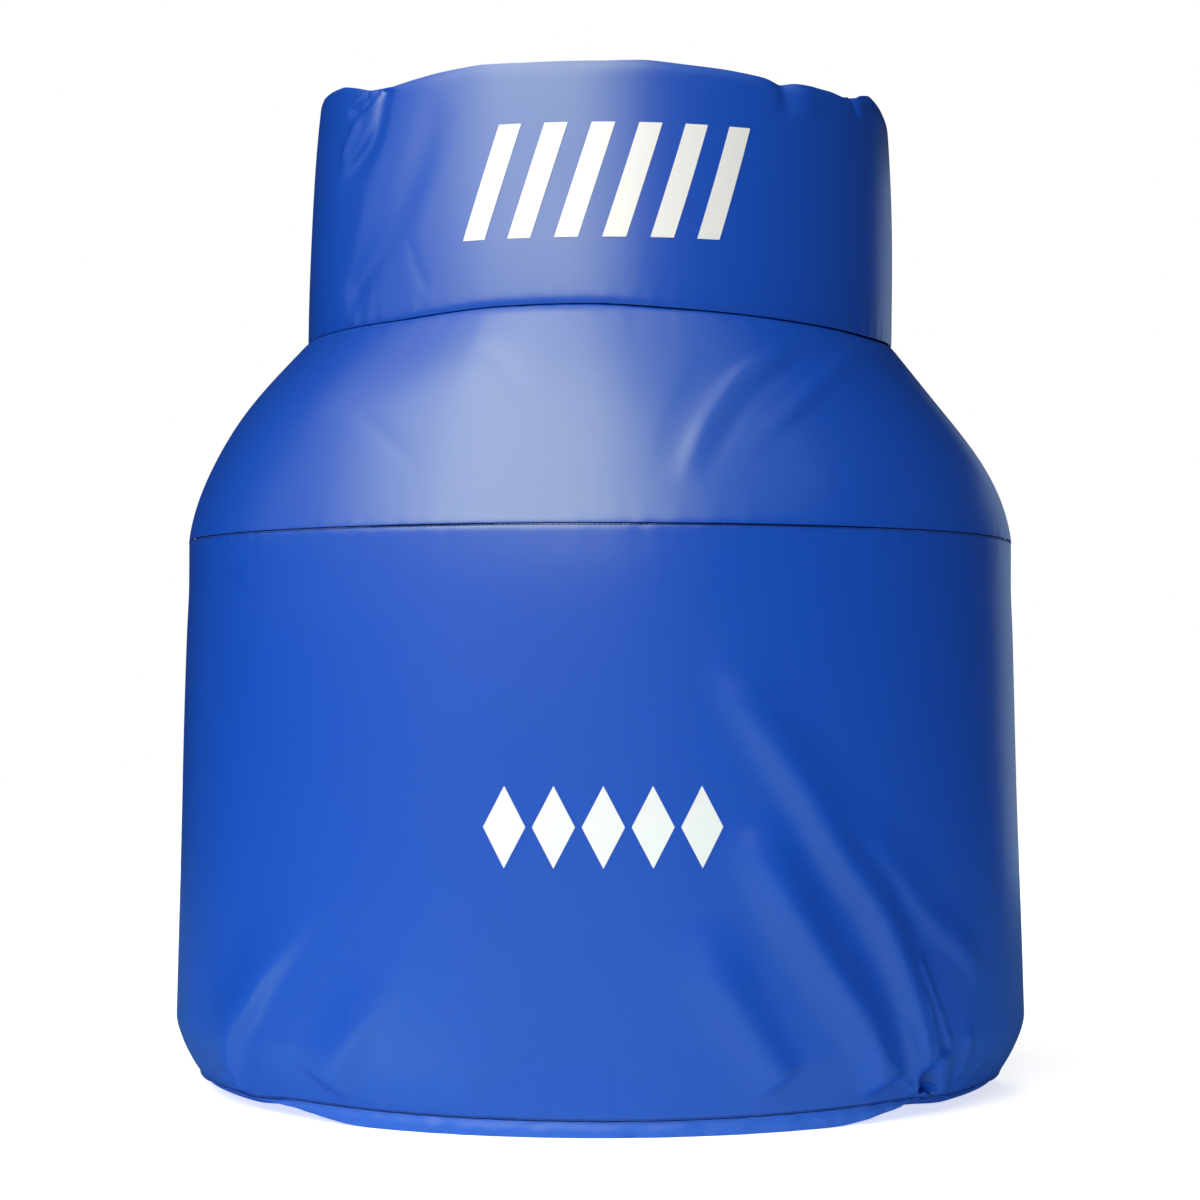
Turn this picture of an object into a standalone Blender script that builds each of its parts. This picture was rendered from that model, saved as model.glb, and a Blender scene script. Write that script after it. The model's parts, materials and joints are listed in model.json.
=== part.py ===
"""Curved ruck pad: a C-shaped foam shell, open at the back, in a cover sewn from vinyl panels.

The wearer stands in the hollow, holds the two grips on the rear faces and closes two belts
behind. Metres, +Z up, the convex front faces -Y, and the pad stands on its flat bottom.
"""

import math
from collections import namedtuple

import bmesh
import bpy
from mathutils import Matrix, Vector

# Whole pad
HEIGHT = 0.800
REAR_Y = 0.1340
GAP = 0.0003
COVER = 0.0015

# Heights of the seams round the front
HEM_FRONT = 0.012
HEM_SIDE_RISE = 0.007
BODY_SEAM = 0.447
NECK_SEAM_SIDE = 0.611
NECK_SEAM_RISE = 0.006

# Plan: half ellipses whose centre lies in the rear plane
BODY_HALF_WIDTH = 0.3405
BODY_FLARE = 0.0105
BODY_DEPTH = 0.320
NECK_HALF_WIDTH = 0.2426
NECK_TAPER = 0.007
NECK_DEPTH = 0.235
SHOULDER_CROWN = 0.005
TUCK_HEIGHT = 0.060
ROW_CROWDING = 1.6
TUCK_FRONT = 0.006
TUCK_SIDE = 0.033
LIP_FRONT = 0.010
LIP_SIDE = 0.014

# Foam
BODY_FOAM = 0.095
NECK_FOAM = 0.080
LINING_Y = REAR_Y - BODY_DEPTH + BODY_FOAM
FOAM_SETBACK = 0.0068
LINING_SETBACK = 0.0030
OUTER_FOAM_SHARE = 0.55
GLUE_HALF_SHARE = 0.004
FOAM_END_ANGLE = math.radians(0.72)
LINING_TOP = NECK_SEAM_SIDE + 0.003
SHOULDER_LEVELS = (0.488, 0.530, 0.572)
FOAM_BOTTOM = 0.0028
BODY_FOAM_LEVELS = (FOAM_BOTTOM, 0.024, TUCK_HEIGHT, 0.150, 0.300, BODY_SEAM)
SHOULDER_FOAM_LEVELS = (BODY_SEAM + GAP, *SHOULDER_LEVELS, LINING_TOP)
NECK_FOAM_LEVELS = (LINING_TOP + GAP, 0.700, HEIGHT - 0.0025)
SPINE_HALF_ANGLE = math.radians(12)

# Zip in the lining
ZIP_HALF_WIDTH = 0.016
ZIP_OPENING = (0.050, 0.425)
ZIP_TEETH = (0.060, 0.400)
ZIP_PITCH = 0.005
ZIP_CHANNEL_HALF_WIDTH = 0.020
ZIP_CHANNEL_DEPTH = 0.012
ZIP_CHANNEL_MARGIN = 0.010
TAPE_THICKNESS = 0.0010
TOOTH_HEIGHT = 0.0021
TOOTH_REACH = 0.0012
TOOTH_TAPER = 0.0003
SPINE_EDGE = 0.0016
CHAIN_HALF_WIDTH = 0.0032
CHAIN_THICKNESS = 0.0024
STOP_HALF_WIDTH = 0.0045
STOP_RISE = 0.0016
SLIDER_Z = 0.392
SLIDER_LENGTH = 0.020
SLIDER_THROAT = 0.0050
SLIDER_SHOULDER = 0.0066
SLIDER_PLATE = 0.0016
POST_HALF_WIDTH = 0.0028
BRIDGE_HALF_WIDTH = 0.0014
BRIDGE_RISE = 0.0072
PULL_AXIS_RISE = 0.0043
PULL_LENGTH = 0.042
PULL_HALF_WIDTH = 0.0042
PULL_THICKNESS = 0.0016
PULL_BAR_RADIUS = 0.0009

# Top grab loop
LOOP_HALF_SPAN = 0.0405
LOOP_END = 0.024
LOOP_WIDTH = 0.025
LOOP_RISE = 0.0074
LOOP_SETBACK = 0.055

# Rear grips
GRIP_X = 0.297
GRIP_BOTTOM = 0.185
GRIP_TOP = 0.375
GRIP_STAND_OFF = 0.046
GRIP_WIDTH = 0.030
SLEEVE_HALF_LENGTH = 0.042

# Belts and buckles
CHEST_BELT_Z = 0.415
WAIST_BELT_Z = 0.110
WEBBING = 0.0016
BELT_WIDTH = 0.038
BELT_STAND_OFF = 0.0016
ANCHOR_X = 0.328
PATCH_SIZE = (0.060, 0.050)

# Vents: the eyelet's section is given as radius and height from the rear face
VENT_HEIGHTS = (("lower", 0.530), ("upper", 0.720))
VENT_HOLE = 0.0058
EYELET_SECTION = (
    (0.0042, -0.0022),
    (0.0053, -0.0022),
    (0.0053, 0.0003),
    (0.0088, 0.0003),
    (0.0088, 0.0009),
    (0.0070, 0.0018),
    (0.0050, 0.0018),
    (0.0042, 0.0010),
)

Finish = namedtuple("Finish", "name colour roughness metallic")
Fold = namedtuple("Fold", "start bend end height spread")

VINYL = Finish("blue_vinyl", (48, 98, 200), 0.34, 0.0)
LINING = Finish("lining_vinyl", (30, 42, 84), 0.50, 0.0)
FOAM = Finish("foam", (196, 190, 172), 0.95, 0.0)
WEBBING_FABRIC = Finish("black_webbing", (22, 23, 27), 0.85, 0.0)
RUBBER = Finish("black_rubber", (26, 26, 28), 0.70, 0.0)
ACETAL = Finish("black_acetal", (18, 18, 20), 0.38, 0.0)
BRASS = Finish("brass", (190, 158, 92), 0.32, 1.0)

# Folds of the front panels: angle round the pad in degrees (0 left rear edge, 90 front,
# 180 right rear edge) and height in metres, then height of the fold and its half width.
BODY_FOLDS = (
    Fold((102, 0.353), (118, 0.215), (134, 0.055), 0.0036, 0.014),
    Fold((108, 0.350), (126, 0.215), (135, 0.080), -0.0034, 0.013),
    Fold((101, 0.315), (108, 0.190), (117, 0.035), -0.0030, 0.015),
    Fold((112, 0.130), (120, 0.090), (123, 0.030), 0.0026, 0.010),
    Fold((134, 0.140), (142, 0.112), (150, 0.086), 0.0026, 0.011),
    Fold((137, 0.090), (138, 0.055), (138, 0.022), -0.0036, 0.009),
    Fold((51, 0.150), (45, 0.100), (37, 0.030), 0.0030, 0.012),
    Fold((45, 0.150), (40, 0.090), (35, 0.030), -0.0026, 0.011),
    Fold((66, 0.112), (61, 0.068), (57, 0.030), 0.0024, 0.012),
)
SHOULDER_FOLDS = (
    Fold((123, 0.600), (107, 0.555), (99, 0.480), 0.0036, 0.013),
    Fold((100, 0.575), (97, 0.530), (96, 0.480), -0.0030, 0.013),
    Fold((132, 0.600), (114, 0.560), (103, 0.500), -0.0036, 0.011),
    Fold((145, 0.600), (128, 0.570), (112, 0.512), -0.0028, 0.012),
    Fold((46, 0.555), (56, 0.524), (66, 0.492), -0.0022, 0.014),
    Fold((58, 0.606), (70, 0.580), (79, 0.542), -0.0022, 0.014),
)
NECK_FOLDS = (
    Fold((46, 0.798), (39, 0.750), (27, 0.716), -0.0036, 0.010),
    Fold((50, 0.798), (55, 0.712), (35, 0.634), -0.0036, 0.011),
    Fold((42, 0.790), (37, 0.740), (30, 0.690), 0.0026, 0.011),
    Fold((126, 0.798), (127, 0.780), (127, 0.760), -0.0036, 0.012),
)


def clear_scene():
    for found in list(bpy.data.objects):
        bpy.data.objects.remove(found, do_unlink=True)


def linear(channel):
    """Turn an 8-bit sRGB channel into the linear value that a shader takes."""
    value = channel / 255
    return value / 12.92 if value <= 0.04045 else ((value + 0.055) / 1.055) ** 2.4


def material(finish):
    found = bpy.data.materials.get(finish.name)
    if found:
        return found
    made = bpy.data.materials.new(finish.name)
    made.use_nodes = True
    shader = made.node_tree.nodes["Principled BSDF"]
    colour = tuple(linear(channel) for channel in finish.colour)
    shader.inputs["Base Color"].default_value = (*colour, 1)
    shader.inputs["Roughness"].default_value = finish.roughness
    shader.inputs["Metallic"].default_value = finish.metallic
    made.diffuse_color = (*colour, 1)
    return made


def add_object(name, mesh_data, finish, smooth_below=None):
    """Put a bmesh into the scene as one named object, its normals facing out."""
    bmesh.ops.recalc_face_normals(mesh_data, faces=mesh_data.faces)
    mesh = bpy.data.meshes.new(name)
    mesh_data.to_mesh(mesh)
    mesh_data.free()
    mesh.materials.append(material(finish))
    if smooth_below is not None:
        mesh.shade_smooth()
        mesh.set_sharp_from_angle(angle=math.radians(smooth_below))
    made = bpy.data.objects.new(name, mesh)
    bpy.context.collection.objects.link(made)
    return made


def half_width(z):
    """Half width of the front panels, and so of the silhouette, at a height."""
    if z < BODY_SEAM:
        return BODY_HALF_WIDTH + BODY_FLARE * (1 - z / BODY_SEAM) ** 1.1
    if z < NECK_SEAM_SIDE:
        down = (NECK_SEAM_SIDE - z) / (NECK_SEAM_SIDE - BODY_SEAM)
        spread = BODY_HALF_WIDTH - NECK_HALF_WIDTH
        return NECK_HALF_WIDTH + spread * (0.8 * math.sin(math.pi * down / 2) + 0.2 * down)
    up = (z - NECK_SEAM_SIDE) / (HEIGHT - NECK_SEAM_SIDE)
    return NECK_HALF_WIDTH - NECK_TAPER * up**2.5


def half_depth(z):
    """How far the front panels stand before the rear plane at a height."""
    if z < BODY_SEAM:
        return BODY_DEPTH + 0.003 * math.sin(math.pi * z / BODY_SEAM)
    if z < NECK_SEAM_SIDE:
        down = (NECK_SEAM_SIDE - z) / (NECK_SEAM_SIDE - BODY_SEAM)
        crown = SHOULDER_CROWN * math.sin(math.pi * down)
        return NECK_DEPTH + (BODY_DEPTH - NECK_DEPTH) * down + crown
    up = (z - NECK_SEAM_SIDE) / (HEIGHT - NECK_SEAM_SIDE)
    return NECK_DEPTH + 0.003 * math.sin(math.pi * up)


def foam_thickness(z):
    """Foam is thinner in the neck; the change runs over the shoulder."""
    share = min(max((NECK_SEAM_SIDE - z) / (NECK_SEAM_SIDE - BODY_SEAM), 0), 1)
    return NECK_FOAM + (BODY_FOAM - NECK_FOAM) * share


def lining_half_width(z):
    level = min(max(z, BODY_SEAM), NECK_SEAM_SIDE + 0.003)
    return half_width(level) - foam_thickness(level)


def lining_half_depth(z):
    share = min(max((NECK_SEAM_SIDE - z) / (NECK_SEAM_SIDE - BODY_SEAM), 0), 1)
    front = NECK_DEPTH + (BODY_DEPTH - NECK_DEPTH) * share
    return front - foam_thickness(z)


def side_share(angle):
    """0 at the front, 1 at the rear edges."""
    return math.cos(angle) ** 2


def tuck(angle, z):
    """How far the cover draws in towards its hem near the ground."""
    share = max(0.0, (TUCK_HEIGHT - z) / TUCK_HEIGHT)
    reach = TUCK_FRONT + (TUCK_SIDE - TUCK_FRONT) * side_share(angle)
    return reach * share**1.6


def hem_height(angle):
    return HEM_FRONT + HEM_SIDE_RISE * side_share(angle)


def neck_seam_height(angle):
    return NECK_SEAM_SIDE + NECK_SEAM_RISE * math.sin(angle)


def outside(angle, z, inset=0.0):
    """Point of the cover's outside; a positive inset lies deeper in the pad."""
    deep = inset + tuck(angle, z)
    x = -(half_width(z) - deep) * math.cos(angle)
    y = REAR_Y - (half_depth(z) - deep) * math.sin(angle)
    return Vector((x, y, z))


def inside(angle, z, inset=0.0):
    """Point of the lining's seen face; a positive inset lies deeper in the pad."""
    x = -(lining_half_width(z) + inset) * math.cos(angle)
    y = REAR_Y - (lining_half_depth(z) + inset) * math.sin(angle)
    return Vector((x, y, z))


def fold_height(fold, angle, z):
    """Height of one fold at a place, measured from its curved line."""
    nearest = None
    for step in range(17):
        along = step / 16
        back = 1 - along
        weights = (back * back, 2 * back * along, along * along)
        line_angle = sum(w * p[0] for w, p in zip(weights, fold[:3]))
        line_z = sum(w * p[1] for w, p in zip(weights, fold[:3]))
        across = math.radians(math.degrees(angle) - line_angle) * BODY_DEPTH
        distance = math.hypot(across, z - line_z)
        if nearest is None or distance < nearest[0]:
            nearest = (distance, along)
    distance, along = nearest
    taper = 0.35 + 0.65 * math.sin(math.pi * min(along + 0.25, 1.0) * 0.5)
    return fold.height * taper * math.exp(-((distance / fold.spread) ** 2))


def relief(folds, angle, z, up):
    """Sum of the folds, held to nothing at the panel's seams and rear edges."""
    total = sum(fold_height(fold, angle, z) for fold in folds)
    at_seams = min(1.0, 6 * up, 6 * (1 - up))
    at_edges = min(1.0, 8 * angle / math.pi, 8 * (1 - angle / math.pi))
    return max(-0.0040, min(0.0040, total)) * at_seams * at_edges


def slab(name, front, back, columns, rows, finish, smooth_below=35):
    """Closed solid between two grids of points, each a function of across and up (0 to 1)."""
    mesh_data = bmesh.new()
    grids = []
    for place in (front, back):
        grid = [
            [mesh_data.verts.new(place(i / columns, j / rows)) for i in range(columns + 1)]
            for j in range(rows + 1)
        ]
        grids.append(grid)
        for low, high in zip(grid, grid[1:]):
            for i in range(columns):
                mesh_data.faces.new((low[i], low[i + 1], high[i + 1], high[i]))
    rims = []
    for grid in grids:
        rim = grid[0][:-1] + [row[-1] for row in grid[:-1]]
        rim += grid[-1][:0:-1] + [row[0] for row in grid[:0:-1]]
        rims.append(rim)
    for i, (near, far) in enumerate(zip(*rims)):
        after = (i + 1) % len(rims[0])
        mesh_data.faces.new((near, rims[0][after], rims[1][after], far))
    return add_object(name, mesh_data, finish, smooth_below)


def front_panel(name, low, high, folds, columns, rows, crowding=1.0):
    """Panel of the cover's outside between two seams, its rows crowded towards the lower one."""

    def layer(depth):
        def place(across, up):
            angle = math.pi * across
            bottom = low(angle) + GAP
            top = high(angle) - GAP
            share = up**crowding
            z = bottom + (top - bottom) * share
            return outside(angle, z, depth - relief(folds, angle, z, share))

        return place

    return slab(name, layer(0.0), layer(COVER), columns, rows, VINYL)


def lining_panel(name, low, high, columns, rows, angles=(0.0, math.pi)):
    """Panel of the lining between two heights and two angles."""

    def layer(depth):
        def place(across, up):
            angle = angles[0] + (angles[1] - angles[0]) * across
            z = low + GAP + (high - low - 2 * GAP) * up
            return inside(angle, z, depth)

        return place

    return slab(name, layer(0.0), layer(COVER), columns, rows, LINING)


def prism(name, outline, low, high, finish, lay=Matrix(), smooth_below=None):
    """Flat outline in XY raised from low to high along Z, then laid by a matrix."""
    mesh_data = bmesh.new()
    base = mesh_data.faces.new([mesh_data.verts.new((x, y, low)) for x, y in outline])
    raised = bmesh.ops.extrude_face_region(mesh_data, geom=[base])
    top = [item for item in raised["geom"] if isinstance(item, bmesh.types.BMVert)]
    bmesh.ops.translate(mesh_data, verts=top, vec=(0, 0, high - low))
    bmesh.ops.transform(mesh_data, matrix=lay, verts=mesh_data.verts)
    return add_object(name, mesh_data, finish, smooth_below)


def box(name, low, high, finish, bevel=0.0):
    """Block between two corners, its edges rounded where bevel isn't zero."""
    mesh_data = bmesh.new()
    bmesh.ops.create_cube(mesh_data, size=1.0)
    size = [b - a for a, b in zip(low, high)]
    centre = [(a + b) / 2 for a, b in zip(low, high)]
    bmesh.ops.scale(mesh_data, vec=size, verts=mesh_data.verts)
    bmesh.ops.translate(mesh_data, vec=centre, verts=mesh_data.verts)
    if bevel:
        bmesh.ops.bevel(
            mesh_data,
            geom=mesh_data.edges[:],
            offset=bevel,
            segments=1,
            affect="EDGES",
        )
    return add_object(name, mesh_data, finish)


def cylinder(name, radius, length, segments, finish, lay):
    """Round bar about Z, centred on its middle, then laid by a matrix."""
    mesh_data = bmesh.new()
    bmesh.ops.create_cone(
        mesh_data,
        cap_ends=True,
        segments=segments,
        radius1=radius,
        radius2=radius,
        depth=length,
        matrix=lay,
    )
    return add_object(name, mesh_data, finish)


def combine(target, other, operation):
    """Cut another shape from an object or join it on; the other one is only a guide."""
    other.hide_render = True
    other.display_type = "WIRE"
    modifier = target.modifiers.new(other.name, "BOOLEAN")
    modifier.operation = operation
    modifier.object = other


def turned(name, profile, segments, finish, lay):
    """Ring turned about Z from a closed profile of radius and height."""
    mesh_data = bmesh.new()
    loops = []
    for step in range(segments):
        turn = Matrix.Rotation(2 * math.pi * step / segments, 3, "Z")
        loops.append([mesh_data.verts.new(turn @ Vector((r, 0, z))) for r, z in profile])
    for step in range(segments):
        first, second = loops[step], loops[(step + 1) % segments]
        for i in range(len(profile)):
            after = (i + 1) % len(profile)
            mesh_data.faces.new((first[i], first[after], second[after], second[i]))
    bmesh.ops.transform(mesh_data, matrix=lay, verts=mesh_data.verts)
    return add_object(name, mesh_data, finish, smooth_below=50)


def arc(centre, radius, start, end, steps):
    """Points along a circular arc, angles in degrees."""
    points = []
    for step in range(steps + 1):
        turn = math.radians(start + (end - start) * step / steps)
        points.append((centre[0] + radius * math.cos(turn), centre[1] + radius * math.sin(turn)))
    return points


def ribbon(name, path, thickness, low, high, finish, lay=Matrix()):
    """Webbing along a path in XY, as wide as from low to high along Z."""
    sides = ([], [])
    for i, point in enumerate(path):
        here = Vector(point)
        before = (here - Vector(path[i - 1])).normalized() if i else None
        after = (Vector(path[i + 1]) - here).normalized() if i + 1 < len(path) else None
        ahead = ((before or after) + (after or before)).normalized()
        across = Vector((-ahead.y, ahead.x))
        leg = after or before
        mitre = thickness / 2 / max(0.3, across.dot(Vector((-leg.y, leg.x))))
        sides[0].append(here + across * mitre)
        sides[1].append(here - across * mitre)
    mesh_data = bmesh.new()
    rings = []
    for one, other in zip(*sides):
        corners = ((one, low), (other, low), (other, high), (one, high))
        rings.append([mesh_data.verts.new((p.x, p.y, z)) for p, z in corners])
    for first, second in zip(rings, rings[1:]):
        for i in range(4):
            after = (i + 1) % 4
            mesh_data.faces.new((first[i], first[after], second[after], second[i]))
    mesh_data.faces.new(rings[0])
    mesh_data.faces.new(rings[-1])
    bmesh.ops.transform(mesh_data, matrix=lay, verts=mesh_data.verts)
    return add_object(name, mesh_data, finish)


def move_origin(target, origin):
    """Put an object's origin on its joint axis without moving its shape."""
    target.data.transform(Matrix.Translation(-Vector(origin)))
    target.location = origin


def build_front_cover():
    def body_top(_):
        return BODY_SEAM

    def rim(_):
        return HEIGHT + GAP

    front_panel("body_front_panel", hem_height, body_top, BODY_FOLDS, 42, 12, ROW_CROWDING)
    front_panel("shoulder_front_panel", body_top, neck_seam_height, SHOULDER_FOLDS, 36, 8)
    front_panel("neck_front_panel", neck_seam_height, rim, NECK_FOLDS, 34, 8)


def foam_point(angle, z, share):
    """Point in the foam's thickness: 0 is the outside, 1 the side towards the lining."""
    if share == 0:
        lip = LIP_SIDE + 0.004 if z == FOAM_BOTTOM else 0.0
        return outside(angle, z, FOAM_SETBACK + lip)
    outer = outside(angle, max(z, TUCK_HEIGHT), FOAM_SETBACK)
    outer.z = z
    return outer.lerp(inside(angle, z, COVER + LINING_SETBACK), share)


def foam_block(name, shares, angles, levels, columns):
    """Block of foam between two shares of the thickness and two angles."""
    rows = len(levels) - 1

    def layer(share):
        def place(across, up):
            angle = angles[0] + (angles[1] - angles[0]) * across
            return foam_point(angle, levels[round(up * rows)], share)

        return place

    return slab(name, layer(shares[0]), layer(shares[1]), columns, rows, FOAM)


def build_foam():
    """Firm outer layer in three blocks; softer inner wings and, between them, a spine with the zip."""
    ends = (FOAM_END_ANGLE, math.pi - FOAM_END_ANGLE)
    outer = (0, OUTER_FOAM_SHARE - GLUE_HALF_SHARE)
    inner = (OUTER_FOAM_SHARE + GLUE_HALF_SHARE, 1)
    for part, levels in (
        ("body", BODY_FOAM_LEVELS),
        ("shoulder", SHOULDER_FOAM_LEVELS),
        ("neck", NECK_FOAM_LEVELS),
    ):
        foam_block(f"foam_outer_{part}", outer, ends, levels, 26)
    full_height = BODY_FOAM_LEVELS + SHOULDER_FOAM_LEVELS[1:] + NECK_FOAM_LEVELS[1:]
    edge_gap = GAP / (BODY_DEPTH - BODY_FOAM)
    spine = (math.pi / 2 - SPINE_HALF_ANGLE, math.pi / 2 + SPINE_HALF_ANGLE)
    foam_block("foam_inner_left", inner, (ends[0], spine[0] - edge_gap), full_height, 11)
    foam_block("foam_inner_right", inner, (spine[1] + edge_gap, ends[1]), full_height, 11)
    middle = foam_block("foam_inner_spine", inner, spine, full_height, 4)
    channel = box(
        "zip_channel",
        (-ZIP_CHANNEL_HALF_WIDTH, LINING_Y - ZIP_CHANNEL_DEPTH, ZIP_OPENING[0] - ZIP_CHANNEL_MARGIN),
        (ZIP_CHANNEL_HALF_WIDTH, LINING_Y + 0.010, ZIP_OPENING[1] + ZIP_CHANNEL_MARGIN),
        FOAM,
    )
    combine(middle, channel, "DIFFERENCE")


def build_lining():
    """Lining towards the wearer, its lower part in two halves that the zip joins."""
    front = math.pi / 2
    seam_half_angle = GAP / BODY_DEPTH
    for side, angles in (
        ("left", (0.0, front - seam_half_angle)),
        ("right", (front + seam_half_angle, math.pi)),
    ):
        half = lining_panel(f"body_back_panel_{side}", COVER, BODY_SEAM, 13, 4, angles)
        window = box(
            f"zip_window_{side}",
            (-ZIP_HALF_WIDTH, LINING_Y - 0.010, ZIP_OPENING[0]),
            (ZIP_HALF_WIDTH, LINING_Y + 0.010, ZIP_OPENING[1]),
            LINING,
        )
        combine(half, window, "DIFFERENCE")
    lining_panel("shoulder_back_panel", BODY_SEAM, LINING_TOP, 26, 4)
    lining_panel("neck_back_panel", LINING_TOP, HEIGHT + GAP, 26, 3)


def lip_depth(angle):
    return LIP_FRONT + (LIP_SIDE - LIP_FRONT) * side_share(angle)


def build_gussets():
    """Flat strips that close the shell at the top, the bottom and the two rear ends."""

    def top_layer(z):
        def place(across, up):
            angle = math.pi * across
            outer = outside(angle, HEIGHT, COVER + GAP)
            inner = inside(angle, HEIGHT, COVER + GAP)
            point = inner.lerp(outer, up)
            return Vector((point.x, point.y, z))

        return place

    slab("top_gusset", top_layer(HEIGHT), top_layer(HEIGHT - COVER), 34, 1, VINYL)

    def bottom_layer(depth):
        def place(across, up):
            angle = math.pi * across
            hem = hem_height(angle) - GAP
            lip = lip_depth(angle)
            if up < 0.2:
                inner = inside(angle, 0.0, 0.0)
                return Vector((inner.x, inner.y, depth))
            turn = math.pi / 2 * (up - 0.2) / 0.8
            inset = lip * (1 - math.sin(turn)) + depth * math.sin(turn)
            point = outside(angle, hem, inset)
            point.z = hem - (hem - depth) * math.cos(turn)
            return point

        return place

    slab("bottom_gusset", bottom_layer(0.0), bottom_layer(COVER), 34, 5, VINYL)
    for side, sign in (("left", -1), ("right", 1)):
        build_side_gusset(side, sign)


def build_side_gusset(side, sign):
    """Flat rear end of the shell on one side, with its vent holes."""
    hem = hem_height(0)
    edge = COVER + 3 * GAP
    top = HEIGHT - COVER - GAP
    rows = 12
    levels = [hem + (BODY_SEAM - hem) * (step / rows) ** ROW_CROWDING for step in range(1, rows)]
    levels += [BODY_SEAM + (NECK_SEAM_SIDE - BODY_SEAM) * step / 8 for step in range(9)]
    levels += [NECK_SEAM_SIDE + (top - NECK_SEAM_SIDE) * step / 4 for step in range(1, 5)]
    outer = [(outside(math.pi, hem, lip_depth(0) + 0.004).x, 2 * COVER)]
    outer.append((outside(math.pi, hem, edge + 0.003).x, hem))
    outer += [(outside(math.pi, z, edge).x, z) for z in levels]
    inner = [(lining_half_width(top) + edge, top)]
    inner_levels = (LINING_TOP, *reversed(SHOULDER_LEVELS), BODY_SEAM)
    inner += [(lining_half_width(z) + edge, z) for z in inner_levels]
    inner.append((lining_half_width(0.0) + edge, 2 * COVER))
    outline = [(sign * x, z) for x, z in outer + inner]
    stand = Matrix.Translation((0, REAR_Y, 0)) @ Matrix.Rotation(math.pi / 2, 4, "X")
    gusset = prism(f"{side}_side_gusset", outline, 0.0, COVER, VINYL, stand)
    for level, z in VENT_HEIGHTS:
        middle = (half_width(z) + lining_half_width(z)) / 2
        place = Matrix.Translation((sign * middle, REAR_Y, z)) @ Matrix.Rotation(-math.pi / 2, 4, "X")
        hole = cylinder(f"vent_hole_{side}_{level}", VENT_HOLE, 0.020, 16, VINYL, place)
        combine(gusset, hole, "DIFFERENCE")
        turned(f"{side}_{level}_vent_eyelet", EYELET_SECTION, 16, BRASS, place)


def build_zip():
    """Tapes flush with the lining, two rows of teeth, stops, slider and pull."""
    low, high = ZIP_OPENING
    front = LINING_Y - 0.0002
    for side, sign in (("left", -1), ("right", 1)):
        near, far = sorted((sign * (CHAIN_HALF_WIDTH + GAP), sign * (ZIP_HALF_WIDTH - GAP)))
        box(
            f"zip_tape_{side}",
            (near, front - TAPE_THICKNESS, low + GAP),
            (far, front, high - GAP),
            WEBBING_FABRIC,
        )
        build_teeth(side, sign)
    build_stop("bottom", 0.0535, 0.0590)
    build_stop("top", 0.4145, 0.4185)
    build_slider()
    build_pull()


def build_stop(end, low, high):
    """Metal stop across both tapes that the slider runs up against."""
    box(
        f"zip_{end}_stop",
        (-STOP_HALF_WIDTH, LINING_Y - 0.00005, low),
        (STOP_HALF_WIDTH, LINING_Y + STOP_RISE, high),
        BRASS,
        0.0004,
    )


def build_teeth(side, sign):
    """One row of teeth, a comb whose teeth mesh with the other row's."""
    start, end = ZIP_TEETH
    phase = 0.0 if sign < 0 else ZIP_PITCH / 2
    spine, reach = sign * SPINE_EDGE, -sign * TOOTH_REACH
    outline = [(sign * CHAIN_HALF_WIDTH, end), (sign * CHAIN_HALF_WIDTH, start), (spine, start)]
    for step in range(int((end - start) / ZIP_PITCH)):
        root = start + 0.0002 + phase + step * ZIP_PITCH
        tip = root + TOOTH_HEIGHT
        if tip > end:
            break
        outline += [(spine, root), (reach, root + TOOTH_TAPER)]
        outline += [(reach, tip - TOOTH_TAPER), (spine, tip)]
    outline.append((spine, end))
    stand = Matrix.Translation((0, LINING_Y - 0.0019, 0)) @ Matrix.Rotation(math.pi / 2, 4, "X")
    prism(f"zip_teeth_{side}", outline, -CHAIN_THICKNESS, 0.0, BRASS, stand)


def build_slider():
    """Two plates round the chain, a post that parts the rows and a bridge for the pull."""
    foot, head = SLIDER_Z, SLIDER_Z + SLIDER_LENGTH
    half = [(SLIDER_THROAT, foot), (SLIDER_SHOULDER, foot + 0.009)]
    half += [(SLIDER_SHOULDER, head - 0.002), (SLIDER_THROAT, head)]
    outline = half + [(-x, z) for x, z in reversed(half)]
    stand = Matrix.Rotation(math.pi / 2, 4, "X")
    seen_face = LINING_Y + 0.0010
    hidden_face = LINING_Y - 0.0024

    def layer(name, shape, back, front):
        return prism(name, shape, -front, -back, BRASS, stand)

    slider = layer("zip_slider", outline, seen_face, seen_face + SLIDER_PLATE)
    lower = layer("slider_lower_plate", outline, hidden_face - SLIDER_PLATE, hidden_face)
    wide = foot + 0.015
    post = [(0.0, foot + 0.0095), (POST_HALF_WIDTH, wide), (0.0, head - 0.001), (-POST_HALF_WIDTH, wide)]
    wedge = layer("slider_post", post, hidden_face - 0.0006, seen_face + 0.0006)
    bridge = box(
        "slider_bridge",
        (-BRIDGE_HALF_WIDTH, LINING_Y + 0.0020, foot + 0.003),
        (BRIDGE_HALF_WIDTH, LINING_Y + BRIDGE_RISE, head - 0.003),
        BRASS,
    )
    eye = box(
        "slider_eye",
        (-SLIDER_THROAT, seen_face + SLIDER_PLATE + 0.0001, foot + 0.0055),
        (SLIDER_THROAT, LINING_Y + BRIDGE_RISE - 0.0014, head - 0.0055),
        BRASS,
    )
    combine(bridge, eye, "DIFFERENCE")
    for piece in (lower, wedge, bridge):
        combine(slider, piece, "UNION")


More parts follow.
